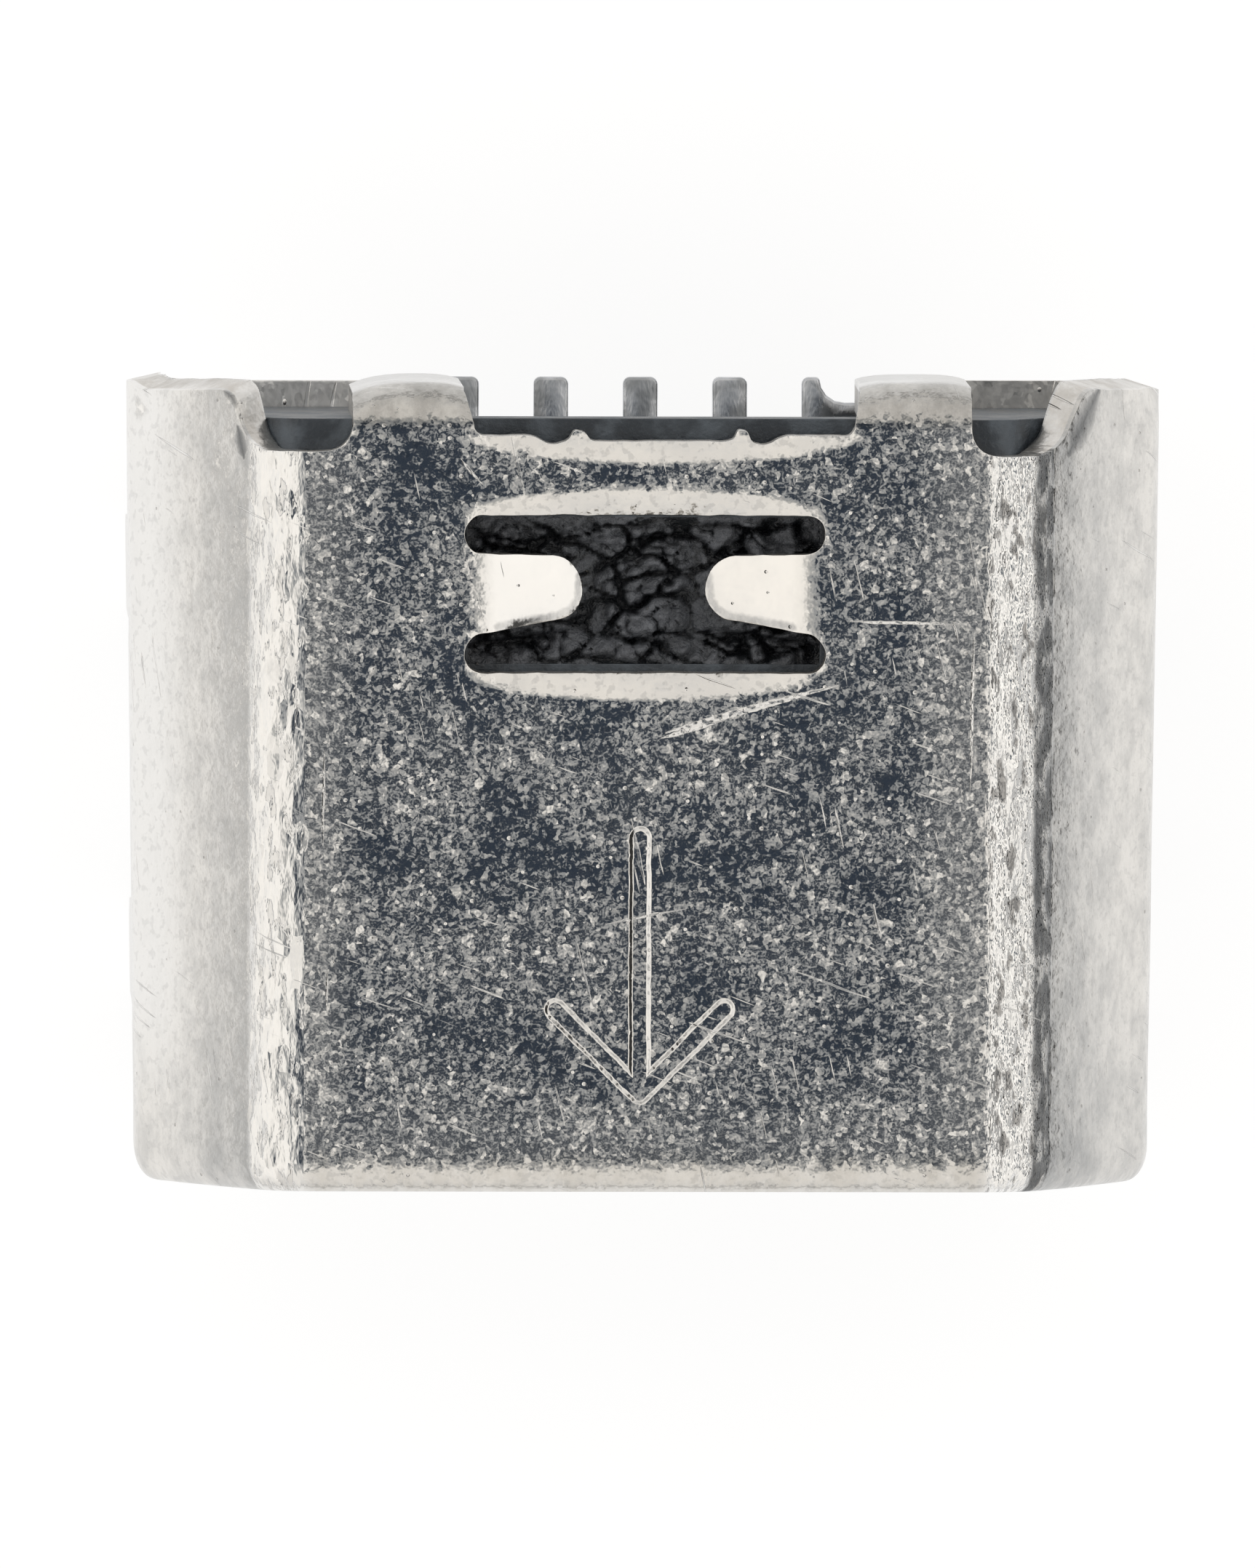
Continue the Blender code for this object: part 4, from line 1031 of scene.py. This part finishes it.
def addCamera(settings):
    data = bpy.data.cameras.new("camera")
    data.sensor_fit = "HORIZONTAL"
    data.sensor_width = settings["filmWidth"]
    shownWidth = settings["frameWidth"] / settings["pixelsPerMillimetre"]
    data.lens = settings["filmWidth"] * settings["distance"] / shownWidth
    data.clip_start, data.clip_end = 0.001, 10.0
    turn = Matrix.Rotation(settings["roll"], 3, "Z")
    turn = turn @ Matrix.Rotation(-settings["tiltToLeft"], 3, "Y") @ Matrix.Rotation(-settings["tiltToRear"], 3, "X")
    camera = bpy.data.objects.new("camera", data)
    scene.collection.objects.link(camera)
    place = Vector(settings["target"]) + turn @ Vector((0.0, 0.0, settings["distance"]))
    camera.matrix_world = Matrix.Translation(place * millimetre) @ turn.to_4x4()
    scene.camera = camera


floorSettings = {
    "near": 9.0, "far": 42.0,  # millimetres from the object, where its reflection fades
    "farLeft": 0.50, "farRight": 0.30,  # share of white out there
    "glow": 0.72,  # share of its own light in what the camera and reflections see
}


def addFloor(settings):
    solid = bmesh.new()
    bmesh.ops.create_grid(solid, x_segments=1, y_segments=1, size=1.5)
    bmesh.ops.translate(solid, verts=solid.verts[:], vec=(0, 0, cadBounds[0][2]))
    floor = toObject(solid, "floor")
    material, tree, shader = newMaterial("floorPaint")
    shader.inputs["Base Color"].default_value = (0.95, 0.95, 0.95, 1)
    shader.inputs["Roughness"].default_value = 0.9
    shader.inputs["Specular IOR Level"].default_value = 0.0
    # reflections see the floor fade with distance, more on the right, as a lit table's does
    place = millimetres(tree)
    away = vectorNode("LENGTH", place, output=1)
    far = mixValue(between(parted(place)[0], -12.0, 12.0), settings["farLeft"], settings["farRight"])
    fade = mixValue(between(away, settings["near"], settings["far"], smooth=False), 1.04, far)
    path = addNode("LightPath", {}, tree).outputs
    seen = mixValue(path["Is Camera Ray"], fade, 1.14)
    glow = addNode("Emission", {"Color": (1, 1, 1, 1), "Strength": seen}).outputs[0]
    share = mathNode("MAXIMUM", path["Is Camera Ray"], path["Is Glossy Ray"])
    share = times(mathNode("MAXIMUM", share, path["Is Transmission Ray"]), settings["glow"])
    mixed = addNode("MixShader", {0: share, 1: shader.outputs[0], 2: glow}).outputs[0]
    tree.links.new(mixed, tree.nodes["Material Output"].inputs["Surface"])
    floor.data.materials.append(material)


light = {
    "byAngle": [  # degrees from straight up, colour
        (0.0, (0.028, 0.040, 0.062)), (7.5, (0.036, 0.047, 0.066)), (13.0, (0.33, 0.345, 0.36)),
        (24.0, (0.52, 0.52, 0.51)), (33.0, (1.0, 0.975, 0.935)), (52.0, (1.12, 1.09, 1.045)),
        (90.0, (0.99, 0.98, 0.96)),
    ],
    "mouthSide": 0.84, "rearSide": 0.82,  # share of it that lights those sides
    "darkSide": 0.05, "darkFrom": -1.5, "darkUntil": 21.0,  # dark band low on the right, degrees up
}


def addLight(settings):
    world = bpy.data.worlds.new("studio")
    scene.world = world
    world.use_nodes = True
    tree = world.node_tree
    x, y, z = parted(addNode("TexCoord", {}, tree).outputs["Generated"])
    fromTop = times(mathNode("ARCCOSINE", z), 180 / math.pi)
    ramp = addNode("ValToRGB", {0: mathNode("DIVIDE", fromTop, 90.0)})
    stops = ramp.color_ramp.elements
    for angle, _ in settings["byAngle"][1:-1]:
        stops.new(angle / 90.0)
    for stop, (angle, colour) in zip(stops, settings["byAngle"]):
        stop.position, stop.color = angle / 90.0, (*colour, 1)
    towardsMouth = between(y, -0.35, -0.75, 1.0, settings["mouthSide"])
    towardsRear = between(y, 0.35, 0.75, 1.0, settings["rearSide"])
    up = minus(90.0, fromTop)
    start, end = settings["darkFrom"], settings["darkUntil"]
    dark = times(band(up, start - 1.0, start, end - 4.0, end), between(x, 0.70, 0.85))
    strength = times(towardsMouth, towardsRear, mixValue(dark, 1.0, settings["darkSide"]))
    tree.links.new(ramp.outputs[0], tree.nodes["Background"].inputs["Color"])
    tree.links.new(strength, tree.nodes["Background"].inputs["Strength"])


addCamera(cameraSettings)
addFloor(floorSettings)
addLight(light)
scene.view_settings.view_transform = "Standard"
